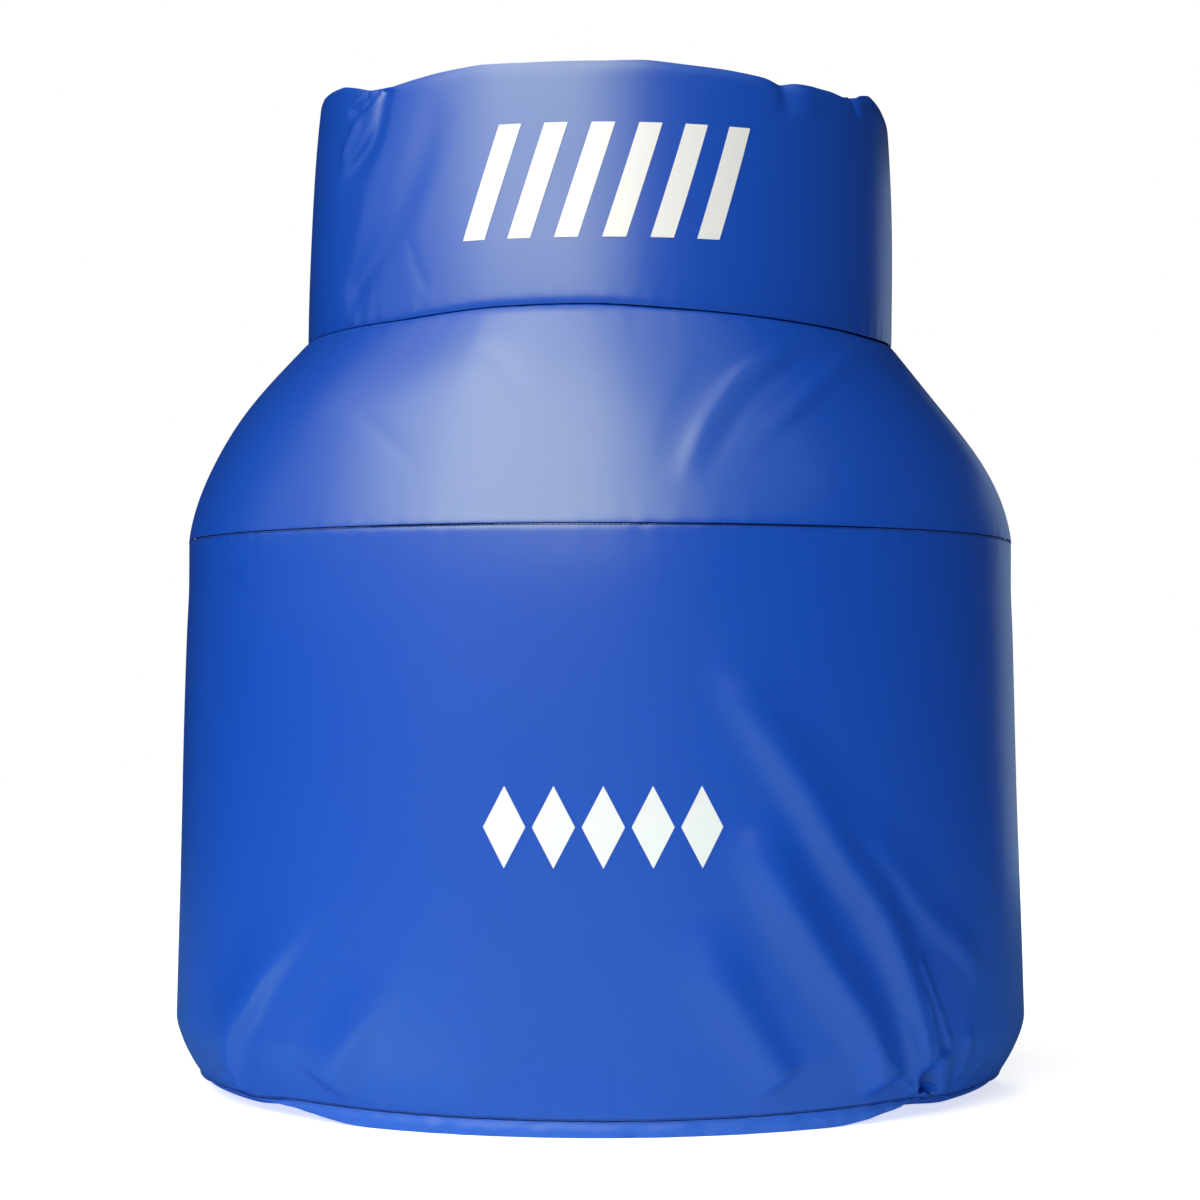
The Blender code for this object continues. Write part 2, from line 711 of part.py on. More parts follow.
def build_pull():
    """Pull tab whose round cross bar turns inside the slider's bridge."""
    axis = (0.0, LINING_Y + PULL_AXIS_RISE, SLIDER_Z + SLIDER_LENGTH / 2)
    top, bottom = axis[2] + 0.0010, axis[2] - PULL_LENGTH
    half = [(PULL_HALF_WIDTH, top), (PULL_HALF_WIDTH, bottom + 0.003), (PULL_HALF_WIDTH - 0.002, bottom)]
    outline = half + [(-x, z) for x, z in reversed(half)]
    near = -axis[1] - PULL_THICKNESS / 2
    stand = Matrix.Rotation(math.pi / 2, 4, "X")
    pull = prism("zip_pull", outline, near, near + PULL_THICKNESS, BRASS, stand)

    def hole(name, half_size, low, high):
        """Opening right through the tab, between two heights."""
        return box(name, (-half_size, axis[1] - 0.003, low), (half_size, axis[1] + 0.003, high), BRASS)

    slot = hole("pull_slot", PULL_HALF_WIDTH / 2, axis[2] - 0.012, axis[2] + 0.003)
    combine(pull, slot, "DIFFERENCE")
    across = Matrix.Translation(axis) @ Matrix.Rotation(math.pi / 2, 4, "Y")
    bar = cylinder("pull_bar", PULL_BAR_RADIUS, 0.0070, 12, BRASS, across)
    combine(pull, bar, "UNION")
    grip_hole = hole("pull_hole", 0.0018, bottom + 0.006, bottom + 0.016)
    combine(pull, grip_hole, "DIFFERENCE")
    move_origin(pull, axis)
    for guide in (slot, bar, grip_hole):
        guide.parent = pull
        guide.matrix_parent_inverse = Matrix.Translation(-Vector(axis))


def build_top_loop():
    """Webbing grab loop lying almost flat on the top."""
    base = HEIGHT + GAP + WEBBING / 2
    end = LOOP_HALF_SPAN + LOOP_END
    rise = LOOP_RISE - WEBBING
    half = [(end, base), (LOOP_HALF_SPAN, base), (LOOP_HALF_SPAN - 0.010, base + rise * 0.75)]
    half.append((LOOP_HALF_SPAN - 0.020, base + rise))
    path = half + [(-x, z) for x, z in reversed(half)]
    middle = REAR_Y - NECK_DEPTH + LOOP_SETBACK
    stand = Matrix.Translation((0, middle, 0)) @ Matrix.Rotation(math.pi / 2, 4, "X")
    ribbon("top_grab_loop", path, WEBBING, -LOOP_WIDTH / 2, LOOP_WIDTH / 2, WEBBING_FABRIC, stand)


def build_grip(side, sign):
    """Upright webbing grip with a rubber sleeve, sewn to the rear face."""
    flat = GAP + 0.001
    centre = (GRIP_TOP + GRIP_BOTTOM) / 2
    lower = [(flat, GRIP_BOTTOM), (flat, GRIP_BOTTOM + 0.026), (0.010, GRIP_BOTTOM + 0.032)]
    lower += [(0.036, GRIP_BOTTOM + 0.041), (GRIP_STAND_OFF, centre - SLEEVE_HALF_LENGTH - 0.004)]
    path = lower + [(y, 2 * centre - z) for y, z in reversed(lower)]
    stand = Matrix.Translation((sign * GRIP_X, REAR_Y, 0)) @ Matrix(
        ((0, 0, 1, 0), (1, 0, 0, 0), (0, 1, 0, 0), (0, 0, 0, 1))
    )
    half = GRIP_WIDTH / 2
    ribbon(f"{side}_grip_webbing", path, 0.002, -half, half, WEBBING_FABRIC, stand)
    wide, deep, corner = half + 0.003, 0.009, 0.007
    section = []
    for x_sign, y_sign, start in ((1, 1, 0), (-1, 1, 90), (-1, -1, 180), (1, -1, 270)):
        middle = (x_sign * (wide - corner), y_sign * (deep - corner))
        section += arc(middle, corner, start, start + 90, 3)
    place = Matrix.Translation((sign * GRIP_X, REAR_Y + GRIP_STAND_OFF, centre))
    sleeve = prism(
        f"{side}_grip_sleeve", section, -SLEEVE_HALF_LENGTH, SLEEVE_HALF_LENGTH, RUBBER, place, 40
    )
    slot = box(
        f"{side}_sleeve_slot",
        (sign * GRIP_X - half - 0.0005, REAR_Y + GRIP_STAND_OFF - 0.0014, centre - 0.06),
        (sign * GRIP_X + half + 0.0005, REAR_Y + GRIP_STAND_OFF + 0.0014, centre + 0.06),
        RUBBER,
    )
    combine(sleeve, slot, "DIFFERENCE")


class Belt:
    """One belt across the open back, closed by a side-release buckle near the middle.

    Its parts are laid out along the belt (u), away from the wearer (n) and across (w).
    """

    rail_inner = 0.0195
    rail_outer = 0.0240
    mouth = 0.0
    housing_end = -0.034
    bar_low, bar_high = 0.0028, 0.0066

    def __init__(self, name, z):
        self.name = name
        self.z = z
        self.base_y = REAR_Y + BELT_STAND_OFF

    def block(self, part, u, n, w, finish, bevel=0.0):
        """Block between two places along the belt, outwards and across."""
        low = (u[0], self.base_y + n[0], self.z + w[0])
        high = (u[1], self.base_y + n[1], self.z + w[1])
        return box(f"{self.name}_{part}", low, high, finish, bevel)

    def build(self):
        self.build_female()
        self.build_male()
        for level, sign in (("upper", 1), ("lower", -1)):
            self.build_latch_arm(level, sign)
        self.build_straps()
        self.build_keeper()
        for side, sign in (("left", -1), ("right", 1)):
            self.build_patch(side, sign)

    def build_female(self):
        """Housing with an open mouth, two side windows and a bar for the webbing."""
        outer, inner = self.rail_outer, self.rail_inner
        wide = (-outer, outer)
        housing = (self.housing_end, self.mouth)
        female = self.block("buckle_female", housing, (0.0, 0.012), wide, ACETAL, 0.0012)
        behind = (-0.046, self.housing_end + 0.002)
        tail = self.block("female_tail", behind, (0.0015, 0.0100), wide, ACETAL, 0.0008)
        combine(female, tail, "UNION")
        cuts = (
            ("female_cavity", (-0.0285, 0.01), (0.0025, 0.0095), (-inner, inner)),
            ("female_windows", (-0.0225, -0.0085), (0.0028, 0.0092), (-0.03, 0.03)),
            ("female_slot", (-0.0400, self.housing_end), (-0.01, 0.02), (-inner, inner)),
            ("female_under_bar", (-0.06, -0.0395), (-0.01, self.bar_low), (-inner, inner)),
            ("female_over_bar", (-0.06, -0.0395), (self.bar_high, 0.02), (-inner, inner)),
        )
        for part, u, n, w in cuts:
            combine(female, self.block(part, u, n, w, ACETAL), "DIFFERENCE")

    def build_male(self):
        """Tongue and base, with a ladder of two bars that holds the adjustable webbing."""
        outer, inner = self.rail_outer - 0.0005, self.rail_inner
        wide = (-outer, outer)
        narrow = (-0.006, 0.006)
        male = self.block("buckle_male", (0.0005, 0.036), (0.0012, 0.0108), wide, ACETAL, 0.0012)
        tongue = self.block("male_tongue", (-0.025, 0.003), (0.0038, 0.0082), narrow, ACETAL, 0.0015)
        combine(male, tongue, "UNION")
        cuts = (
            ("male_slot_inner", (0.0085, 0.0210), (-0.01, 0.02), (-inner, inner)),
            ("male_slot_outer", (0.0250, 0.0320), (-0.01, 0.02), (-inner, inner)),
            ("male_under_bars", (0.0200, 0.06), (-0.01, self.bar_low), (-inner, inner)),
            ("male_over_bars", (0.0200, 0.06), (self.bar_high, 0.02), (-inner, inner)),
        )
        for part, u, n, w in cuts:
            combine(male, self.block(part, u, n, w, ACETAL), "DIFFERENCE")

    def build_latch_arm(self, level, sign):
        """Sprung arm whose barb sits behind the mouth's rim in the side window."""
        outline = [(0.0002, 0.0105), (0.0002, 0.0150), (-0.0088, 0.0160), (-0.0092, 0.0238)]
        outline += [(-0.0130, 0.0245), (-0.0190, 0.0210), (-0.0250, 0.0150), (-0.0250, 0.0120)]
        outline.append((-0.0080, 0.0115))
        shape = [(u, sign * w) for u, w in outline]
        lay = Matrix.Translation((0, self.base_y, self.z)) @ Matrix.Rotation(math.pi / 2, 4, "X")
        prism(f"{self.name}_latch_arm_{level}", shape, -0.0082, -0.0038, ACETAL, lay)

    def build_straps(self):
        """Webbing sewn to the rear faces; the right one doubles back as the loose tail."""
        flat, lap = 0.0013, 0.0034
        bend, over = 0.0047, 0.0081
        radius = over - bend
        left = [(-ANCHOR_X, flat), (-0.0395, flat)]
        left += arc((-0.0395, bend), radius, -90, 90, 6)[1:]
        left += [(-0.0500, over), (-0.0620, lap), (-0.1050, lap)]
        right = [(ANCHOR_X, flat), (0.0205, flat)]
        right += arc((0.0205, bend), radius, -90, -270, 6)[1:]
        right += [(0.0400, over), (0.0520, lap), (0.1300, lap)]
        lay = Matrix.Translation((0, self.base_y, self.z))
        half = BELT_WIDTH / 2
        for side, path in (("left", left), ("right", right)):
            ribbon(f"{self.name}_strap_{side}", path, WEBBING, -half, half, WEBBING_FABRIC, lay)

    def build_keeper(self):
        """Loop that holds the tail down and slides along the belt."""
        wide = BELT_WIDTH / 2 + 0.0005
        rim = wide + 0.0015
        keeper = self.block(
            "strap_keeper", (0.090, 0.102), (-0.0009, 0.0056), (-rim, rim), RUBBER, 0.0004
        )
        hollow = self.block("keeper_hollow", (0.08, 0.12), (0.0001, 0.0046), (-wide, wide), RUBBER)
        combine(keeper, hollow, "DIFFERENCE")

    def build_patch(self, side, sign):
        """Reinforcing patch between a rear face and the sewn end of the strap."""
        wide, high = PATCH_SIZE
        near, far = sorted((sign * (ANCHOR_X + 0.004), sign * (ANCHOR_X + 0.004 - wide)))
        box(
            f"{self.name}_anchor_patch_{side}",
            (near, REAR_Y + GAP, self.z - high / 2),
            (far, REAR_Y + GAP + 0.0012, self.z + high / 2),
            LINING,
            0.0004,
        )


def main():
    clear_scene()
    build_front_cover()
    build_foam()
    build_lining()
    build_gussets()
    build_zip()
    build_top_loop()
    for side, sign in (("left", -1), ("right", 1)):
        build_grip(side, sign)
    for name, z in (("chest", CHEST_BELT_Z), ("waist", WAIST_BELT_Z)):
        Belt(name, z).build()


main()
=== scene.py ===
"""Looks of a curved ruck pad: folded vinyl cover, sewn seams, lining, zip, grips and belts.

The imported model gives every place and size. This script dresses it: the cover's panels are
modelled as sheets that carry the folds of the real one, and each finish is a shader of nodes.
"""

import json
import logging
import math
from dataclasses import dataclass, field
from enum import Enum
from typing import Callable, Sequence

import bmesh
import bpy
import numpy as np
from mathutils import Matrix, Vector


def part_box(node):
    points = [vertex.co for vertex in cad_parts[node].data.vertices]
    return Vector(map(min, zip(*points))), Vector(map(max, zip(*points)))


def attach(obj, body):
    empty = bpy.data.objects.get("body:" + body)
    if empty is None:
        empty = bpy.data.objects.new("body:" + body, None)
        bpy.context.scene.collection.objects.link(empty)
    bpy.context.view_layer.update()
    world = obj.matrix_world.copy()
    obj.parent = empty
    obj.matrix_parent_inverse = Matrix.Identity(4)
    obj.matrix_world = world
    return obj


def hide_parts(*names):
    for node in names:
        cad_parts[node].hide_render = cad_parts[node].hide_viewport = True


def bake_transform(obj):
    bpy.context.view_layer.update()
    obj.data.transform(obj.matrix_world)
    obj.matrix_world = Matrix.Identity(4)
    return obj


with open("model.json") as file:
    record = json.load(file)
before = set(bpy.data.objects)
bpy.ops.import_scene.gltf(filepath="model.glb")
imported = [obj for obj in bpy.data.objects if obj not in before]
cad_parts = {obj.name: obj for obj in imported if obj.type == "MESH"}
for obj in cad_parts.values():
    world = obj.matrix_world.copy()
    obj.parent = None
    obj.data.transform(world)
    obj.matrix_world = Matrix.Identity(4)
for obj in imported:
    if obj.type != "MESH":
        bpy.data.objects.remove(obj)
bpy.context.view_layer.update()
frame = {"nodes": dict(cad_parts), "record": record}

LOG = logging.getLogger("ruck_pad")
PAD_BODY = "pad"
SHARP_EDGE = math.radians(50)
KNOT_STEP = 0.2
ROW_CROWDING = 0.82

Colour = tuple[float, float, float]
Point = tuple[float, float, float]
Grid = np.ndarray
HeightAt = Callable[[Grid], Grid]
Relief = Callable[[Grid, Grid], Grid]
Material = bpy.types.Material
Piece = bpy.types.Object

WHITE: Colour = (1.0, 1.0, 1.0)
WARM: Colour = (1.0, 0.96, 0.84)
COOL: Colour = (0.78, 0.89, 1.0)


class Side(Enum):
    """Side of the pad, as seen from the front."""

    LEFT = -1
    RIGHT = 1

    @property
    def word(self) -> str:
        """Name of the side in node names."""
        return self.name.lower()


class Crease(Enum):
    """How sharp a fold's line is: the power of its falling profile."""

    SOFT = 2.0
    FIRM = 1.5


def srgb(red: int, green: int, blue: int) -> Colour:
    """Turn an 8-bit display colour into linear light.

    Args:
        red: Red channel, 0 to 255.
        green: Green channel, 0 to 255.
        blue: Blue channel, 0 to 255.

    Returns:
        The linear red, green and blue.
    """
    shares = (channel / 255 for channel in (red, green, blue))
    linear = (s / 12.92 if s <= 0.04045 else ((s + 0.055) / 1.055) ** 2.4 for s in shares)
    return tuple(linear)


def knotted(knots: Sequence[tuple[float, float]], angle: Grid, blur: float) -> Grid:
    """Rounded line through knots.

    Args:
        knots: Angle in degrees and value of each knot.
        angle: Where to read the line, in radians.
        blur: Rounding of the corners in degrees.

    Returns:
        The line's values.
    """
    dense = np.linspace(-20.0, 200.0, round(220 / KNOT_STEP) + 1)
    places, values = np.array(knots, float).T
    reach = np.arange(-40, 41) * KNOT_STEP
    kernel = np.exp(-((reach / blur) ** 2))
    line = np.convolve(np.interp(dense, places, values), kernel / kernel.sum(), mode="same")
    return np.interp(np.degrees(angle), dense, line)


def smooth(share: Grid) -> Grid:
    """Ease from 0 to 1 as a share goes from 0 to 1."""
    held = np.clip(share, 0.0, 1.0)
    return held * held * (3 - 2 * held)


def fall(distance: Grid, reach: Grid | float, power: float = 1) -> Grid:
    """Fade from 1 towards 0 with a distance, steeper past its reach for a higher power."""
    return np.exp(-((np.abs(distance) / reach) ** power))


def linked(name: str, data: bpy.types.ID) -> Piece:
    """Put a new object with that data into the scene."""
    made = bpy.data.objects.new(name, data)
    bpy.context.scene.collection.objects.link(made)
    return made


def cut(piece: Piece, cutter: Piece, name: str) -> None:
    """Cut one object out of a piece, and delete the cutter."""
    hole = piece.modifiers.new(name, "BOOLEAN")
    hole.operation = "DIFFERENCE"
    hole.object = cutter
    bpy.context.view_layer.objects.active = piece
    bpy.ops.object.modifier_apply(modifier=hole.name)
    bpy.data.objects.remove(cutter, do_unlink=True)


class Signal:
    """A shader output that takes part in Python arithmetic."""

    def __init__(self, graph: "NodeGraph", socket: bpy.types.NodeSocket) -> None:
        """Wrap one output socket of a graph."""
        self.graph = graph
        self.socket = socket

    def _math(self, operation: str, first: object, second: object) -> "Signal":
        """Add a Math node on two values."""
        return self.graph.output("ShaderNodeMath", {0: first, 1: second}, operation=operation)

    def __add__(self, other: object) -> "Signal":
        """Sum of this and another value."""
        return self._math("ADD", self, other)

    __radd__ = __add__

    def __rsub__(self, other: object) -> "Signal":
        """Another value less this one."""
        return self._math("SUBTRACT", other, self)

    def __mul__(self, other: object) -> "Signal":
        """Product of this and another value."""
        return self._math("MULTIPLY", self, other)

    __rmul__ = __mul__

    def __pow__(self, other: object) -> "Signal":
        """This value to a power."""
        return self._math("POWER", self, other)


class NodeGraph:
    """Node tree of a material or the world, with a single method that adds any node."""

    def __init__(self, holder: Material | bpy.types.World) -> None:
        """Start an empty tree in its holder."""
        self.holder = holder
        holder.use_nodes = True
        self.tree = holder.node_tree
        self.tree.nodes.clear()

    @classmethod
    def of_material(cls, name: str) -> "NodeGraph":
        """Start the tree of a new material."""
        return cls(bpy.data.materials.new(name))

    def node(self, kind: str, inputs: dict | None = None, **settings: object) -> bpy.types.Node:
        """Add a node.

        Args:
            kind: The node's type.
            inputs: Values or signals for its sockets, by name or number.
            **settings: Properties of the node.

        Returns:
            The new node.
        """
        made = self.tree.nodes.new(kind)
        for key, value in settings.items():
            setattr(made, key, value)
        for key, value in (inputs or {}).items():
            if isinstance(value, Signal):
                self.tree.links.new(value.socket, made.inputs[key])
            else:
                made.inputs[key].default_value = value
        return made

    def output(
        self, kind: str, inputs: dict | None = None, output: int | str = 0, **settings: object
    ) -> Signal:
        """Add a node and wrap one of its outputs."""
        return Signal(self, self.node(kind, inputs, **settings).outputs[output])

    def mix(self, factor: object, first: object, second: object) -> Signal:
        """Blend two colours by a factor."""
        inputs = {0: factor, 6: self._opaque(first), 7: self._opaque(second)}
        return self.output("ShaderNodeMix", inputs, 2, data_type="RGBA")

    @staticmethod
    def _opaque(colour: object) -> object:
        """Give a plain colour its alpha."""
        return colour if isinstance(colour, Signal) else (*colour, 1.0)

    def coordinates(self, kind: str) -> Signal:
        """Coordinates of the surface: Object or UV, both in metres here."""
        return self.output("ShaderNodeTexCoord", output=kind)

    def ray(self, kind: str) -> Signal:
        """1 for rays of a kind, such as Camera, Glossy or Diffuse, and 0 for others."""
        return self.output("ShaderNodeLightPath", output=f"Is {kind} Ray")

    def noise(self, vector: Signal, scale: float, detail: float = 2.0) -> Signal:
        """Noise from 0 to 1, its scale in lumps per metre."""
        return self.output(
            "ShaderNodeTexNoise", {"Vector": vector, "Scale": scale, "Detail": detail}
        )

    def wave(self, vector: Signal, pitch: float, direction: str) -> Signal:
        """Sine ridges from 0 to 1 with a pitch in metres across X, Y or Z."""
        return self.output(
            "ShaderNodeTexWave",
            {"Vector": vector, "Scale": math.pi / (10 * pitch)},
            1,
            wave_type="BANDS",
            bands_direction=direction,
            wave_profile="SIN",
        )

    def bump(self, height: Signal) -> Signal:
        """Normal from a height in metres."""
        return self.output("ShaderNodeBump", {"Height": height, "Strength": 1.0, "Distance": 1.0})

    def surface(self, inputs: dict) -> Material:
        """End the graph in a Principled shader with those inputs."""
        self.node("ShaderNodeOutputMaterial", {0: self.output("ShaderNodeBsdfPrincipled", inputs)})
        return self.holder


@dataclass(frozen=True)
class VinylFinish:
    """Glossy coated cloth: smooth skin, with the scrim's weave faint under it."""

    name: str
    colour: Colour
    shade: Colour
    roughness: float = 0.31
    sheen_tint: Colour = (0.92, 1.0, 0.42)
    specular: float = 0.85
    coat: float = 0.14
    coat_roughness: float = 0.20
    weave_pitch: float = 0.0021
    weave_height: float = 0.000010
    grain_height: float = 0.000022

    def make(self) -> Material:
        """Build the material; it reads a UV map in metres."""
        graph = NodeGraph.of_material(self.name)
        surface = graph.coordinates("UV")
        clouds = graph.noise(surface, 6.0, 3.0)
        fine = graph.noise(surface, 900.0, 2.0)
        peel = graph.noise(surface, 120.0, 2.0)
        across = graph.wave(surface, self.weave_pitch, "X")
        along = graph.wave(surface, self.weave_pitch, "Y")
        height = (across + along) * (self.weave_height * 0.5)
        height = height + fine * self.grain_height + peel * (self.grain_height * 2.0)
        colour = graph.mix(clouds * 0.5 + fine * 0.12, self.colour, self.shade)
        return graph.surface(
            {
                "Base Color": colour,
                "Roughness": clouds * 0.06 + peel * 0.04 + (self.roughness - 0.05),
                "Normal": graph.bump(height),
                "IOR": 1.6,
                "Specular IOR Level": self.specular,
                "Specular Tint": (*self.sheen_tint, 1.0),
                "Coat Weight": self.coat,
                "Coat Roughness": self.coat_roughness,
            }
        )


@dataclass(frozen=True)
class MouldedFinish:
    """Moulded plastic or rubber, with a fine spark-eroded grain and rubbed places."""

    name: str
    colour: Colour
    rubbed: Colour
    roughness: float
    grain: float = 0.00002

    def make(self) -> Material:
        """Build the material on Object coordinates."""
        graph = NodeGraph.of_material(self.name)
        place = graph.coordinates("Object")
        grain = graph.noise(place, 2400.0, 2.0)
        rub = graph.noise(place, 55.0, 4.0) ** 3.0
        colour = graph.mix(rub * 1.4, self.colour, self.rubbed)
        return graph.surface(
            {
                "Base Color": colour,
                "Roughness": grain * 0.12 + rub * 0.2 + (self.roughness - 0.06),
                "Normal": graph.bump(grain * self.grain),
                "Specular IOR Level": 0.5,
            }
        )


@dataclass(frozen=True)
class MetalFinish:
    """Plated metal with tarnish in patches and fine handling marks."""

    name: str
    colour: Colour
    tarnish: Colour
    roughness: float = 0.28

    def make(self) -> Material:
        """Build the material on Object coordinates."""
        graph = NodeGraph.of_material(self.name)
        place = graph.coordinates("Object")
        patches = graph.noise(place, 180.0, 4.0)
        stretched = graph.output(
            "ShaderNodeMapping", {"Vector": place, "Scale": (400.0, 400.0, 3000.0)}
        )
        marks = graph.noise(stretched, 1.0)
        return graph.surface(
            {
                "Base Color": graph.mix(patches ** 2.0, self.colour, self.tarnish),
                "Metallic": 1.0,
                "Roughness": patches * 0.18 + marks * 0.08 + (self.roughness - 0.12),
                "Normal": graph.bump(marks * 0.000004),
            }
        )


@dataclass(frozen=True)
class FoamFinish:
    """Cut open-cell foam."""

    name: str
    colour: Colour
    cell: Colour

    def make(self) -> Material:
        """Build the material on Object coordinates."""
        graph = NodeGraph.of_material(self.name)
        place = graph.coordinates("Object")
        cells = graph.output("ShaderNodeTexVoronoi", {"Vector": place, "Scale": 900.0})
        return graph.surface(
            {
                "Base Color": graph.mix(cells, self.cell, self.colour),
                "Roughness": 0.95,
                "Normal": graph.bump(cells * 0.0003),
            }
        )


@dataclass(frozen=True)
class WebbingFinish:
    """Woven webbing on Object coordinates, for straight strips along X."""

    name: str
    colour: Colour
    light: Colour
    rib: float = 0.0018
    yarn: float = 0.0014
    depth: float = 0.00014
    fuzz_depth: float = 0.00006

    def make(self) -> Material:
        """Build the material."""
        graph = NodeGraph.of_material(self.name)
        place = graph.coordinates("Object")
        ribs = graph.wave(place, self.rib, "X")
        yarns = graph.wave(place, self.yarn, "Z")
        weave = ribs * 0.5 + yarns * 0.5
        fuzz = graph.noise(place, 2400.0, 3.0)
        return graph.surface(
            {
                "Base Color": graph.mix(weave * 0.7 + fuzz * 0.3, self.colour, self.light),
                "Roughness": fuzz * 0.15 + 0.72,
                "Normal": graph.bump(weave * self.depth + fuzz * self.fuzz_depth),
                "Specular IOR Level": 0.35,
            }
        )


VINYL = VinylFinish("cover_vinyl", srgb(9, 76, 192), srgb(7, 71, 183))
# Matt vinyl of the hem strip; its colour, lighter than the cover's, is painted floor bounce light.
BOUNCE_LIT_HEM_VINYL = VinylFinish(
    "hem_vinyl", srgb(22, 90, 207), srgb(17, 82, 196), roughness=0.55, coat=0.0, specular=0.6
)
LINING = VinylFinish(
    "lining_cloth",
    srgb(27, 36, 72),
    srgb(20, 27, 55),
    roughness=0.5,
    coat=0.0,
    sheen_tint=WHITE,
    specular=0.5,
)
PRINT = VinylFinish(
    "print_ink",
    srgb(241, 237, 239),
    srgb(233, 229, 232),
    roughness=0.40,
    coat=0.2,
    sheen_tint=WHITE,
    specular=0.5,
)
THREAD = MouldedFinish("sewing_thread", srgb(20, 44, 120), srgb(40, 70, 150), 0.6)
PATCH = MouldedFinish("patch_vinyl", srgb(27, 36, 72), srgb(40, 50, 90), 0.5)
WEBBING = WebbingFinish("node_webbing", srgb(17, 18, 21), srgb(44, 45, 50))
RUBBER = MouldedFinish("grip_rubber", srgb(22, 22, 24), srgb(46, 46, 48), 0.62)
ACETAL = MouldedFinish("buckle_acetal", srgb(16, 16, 18), srgb(40, 40, 43), 0.36)
BRASS = MetalFinish("brass_metal", srgb(206, 172, 104), srgb(140, 108, 60))
FOAM = FoamFinish("pad_foam", srgb(206, 198, 176), srgb(160, 150, 128))


@dataclass(frozen=True)
class PadForm:
    """Shape of the cover without its folds: half ellipses stacked from hem to rim.

    Angles run round the pad in radians, 0 at the left rear edge, half a turn at the right.
    """

    rear: float
    height: float
    body_seam: float
    neck_seam: float
    body_width: float
    body_depth: float
    neck_width: float
    neck_depth: float
    body_foam: float
    neck_foam: float
    flare: float = 0.0122
    neck_taper: float = 0.007
    neck_lean: float = 0.012
    sway: float = 0.003
    tuck_height: float = 0.060
    tuck_front: float = -0.003
    tuck_side: float = 0.034
    hem_front: float = 0.012
    hem_rise: float = 0.007
    hem_hiding: float = 0.0048
    bottom_lift: float = 0.0105
    sheet: float = 0.0015
    body_bow: float = 0.003
    shoulder_crown: float = 0.005
    side_seam: float = 8.5

    # Notches under the pinched corner: rise, angle and width in degrees
    NOTCHES = ((0.0030, 139.0, 4.0), (0.0045, 134.4, 1.5))

    @classmethod
    def from_frame(cls) -> "PadForm":
        """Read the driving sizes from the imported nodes."""
        body_low, body_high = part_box("body_front_panel")
        neck_low, neck_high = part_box("neck_front_panel")
        lining_low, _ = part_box("body_back_panel_left")
        neck_lining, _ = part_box("neck_back_panel")
        flare, bow, sheet = 0.0085, 0.003, 0.0015
        body_width = (body_high.x - body_low.x) / 2 - flare
        body_depth = body_high.y - body_low.y - bow
        neck_width = (neck_high.x - neck_low.x) / 2
        neck_depth = neck_high.y - neck_low.y - bow
        return cls(
            rear=body_high.y,
            height=neck_high.z,
            body_seam=body_high.z,
            neck_seam=neck_low.z,
            body_width=body_width,
            body_depth=body_depth,
            neck_width=neck_width,
            neck_depth=neck_depth,
            body_foam=body_depth + lining_low.y - body_high.y + sheet,
            neck_foam=neck_depth + neck_lining.y - neck_high.y + sheet,
        )

    def down(self, z: Grid) -> Grid:
        """Share of the way down the shoulder: 0 at the neck seam, 1 at the body seam."""
        return np.clip((self.neck_seam - z) / (self.neck_seam - self.body_seam), 0.0, 1.0)

    def up(self, z: Grid) -> Grid:
        """Share of the way up the neck."""
        return np.clip((z - self.neck_seam) / (self.height - self.neck_seam), 0.0, 1.0)

    def half_width(self, z: Grid) -> Grid:
        """Half width of the silhouette at a height."""
        below = np.clip(1 - z / self.body_seam, 0.0, 1.0)
        down = self.down(z)
        spread = self.body_width - self.neck_width
        shoulder = self.neck_width + spread * (0.8 * np.sin(np.pi * down / 2) + 0.2 * down)
        dip = 0.0006 * fall(z - 0.405, 0.022, 2)
        widening = self.flare * below**1.1 - dip
        return shoulder + widening - self.neck_taper * self.up(z) ** 2.5

    def half_depth(self, z: Grid) -> Grid:
        """How far the cover stands before the rear plane at a height."""
        down, up = self.down(z), self.up(z)
        depth = self.neck_depth + (self.body_depth - self.neck_depth) * down
        depth = depth + self.shoulder_crown * np.sin(np.pi * down) - self.neck_lean * up
        return depth + self.body_bow * np.sin(np.pi * np.clip(z / self.body_seam, 0.0, 1.0))

    def foam(self, z: Grid) -> Grid:
        """Thickness of the foam at a height."""
        return self.neck_foam + (self.body_foam - self.neck_foam) * self.down(z)

    def tuck(self, angle: Grid, z: Grid) -> Grid:
        """How far the cover draws in towards its hem."""
        share = np.clip((self.tuck_height - z) / self.tuck_height, 0.0, None)
        reach = self.tuck_front + (self.tuck_side - self.tuck_front) * np.cos(angle) ** 2
        return reach * share**1.6

    def lift(self, angle: Grid) -> Grid:
        """How far the bottom's outer edge rises off the ground near the corners."""
        side = np.degrees(np.minimum(angle, np.pi - angle))
        height = np.where(angle < np.pi / 2, self.bottom_lift - 0.0020, self.bottom_lift)
        degrees = np.degrees(angle)
        notch = sum(rise * fall(degrees - at, width, 2) for rise, at, width in self.NOTCHES)
        return height * smooth((60 - side) / 17) * smooth((side - 4) / 10) + notch

    def hem(self, angle: Grid) -> Grid:
        """Height of the hem seam, which runs out under the corners."""
        side = np.degrees(np.minimum(angle, np.pi - angle))
        under = self.hem_hiding * smooth((49 - side) / 12) * smooth((side - 6) / 8)
        return self.hem_front + self.hem_rise * np.cos(angle) ** 2 - under

    # Angle in degrees and height over the neck seam in millimetres
    NECK_LINE = (
        (0, -2.3), (30, -1.2), (50, -0.2), (60, 2.4), (69, 4.9), (80, 5.9), (90, 6.0),
        (104, 3.0), (118, 0.5), (134, -2.4), (152, -5.0), (166, -3.6), (180, -1.4),
    )

    def neck_line(self, angle: Grid) -> Grid:
        """Height of the seam between shoulder and neck, highest left of the middle."""
        return self.neck_seam + knotted(self.NECK_LINE, angle, 3.0) / 1000

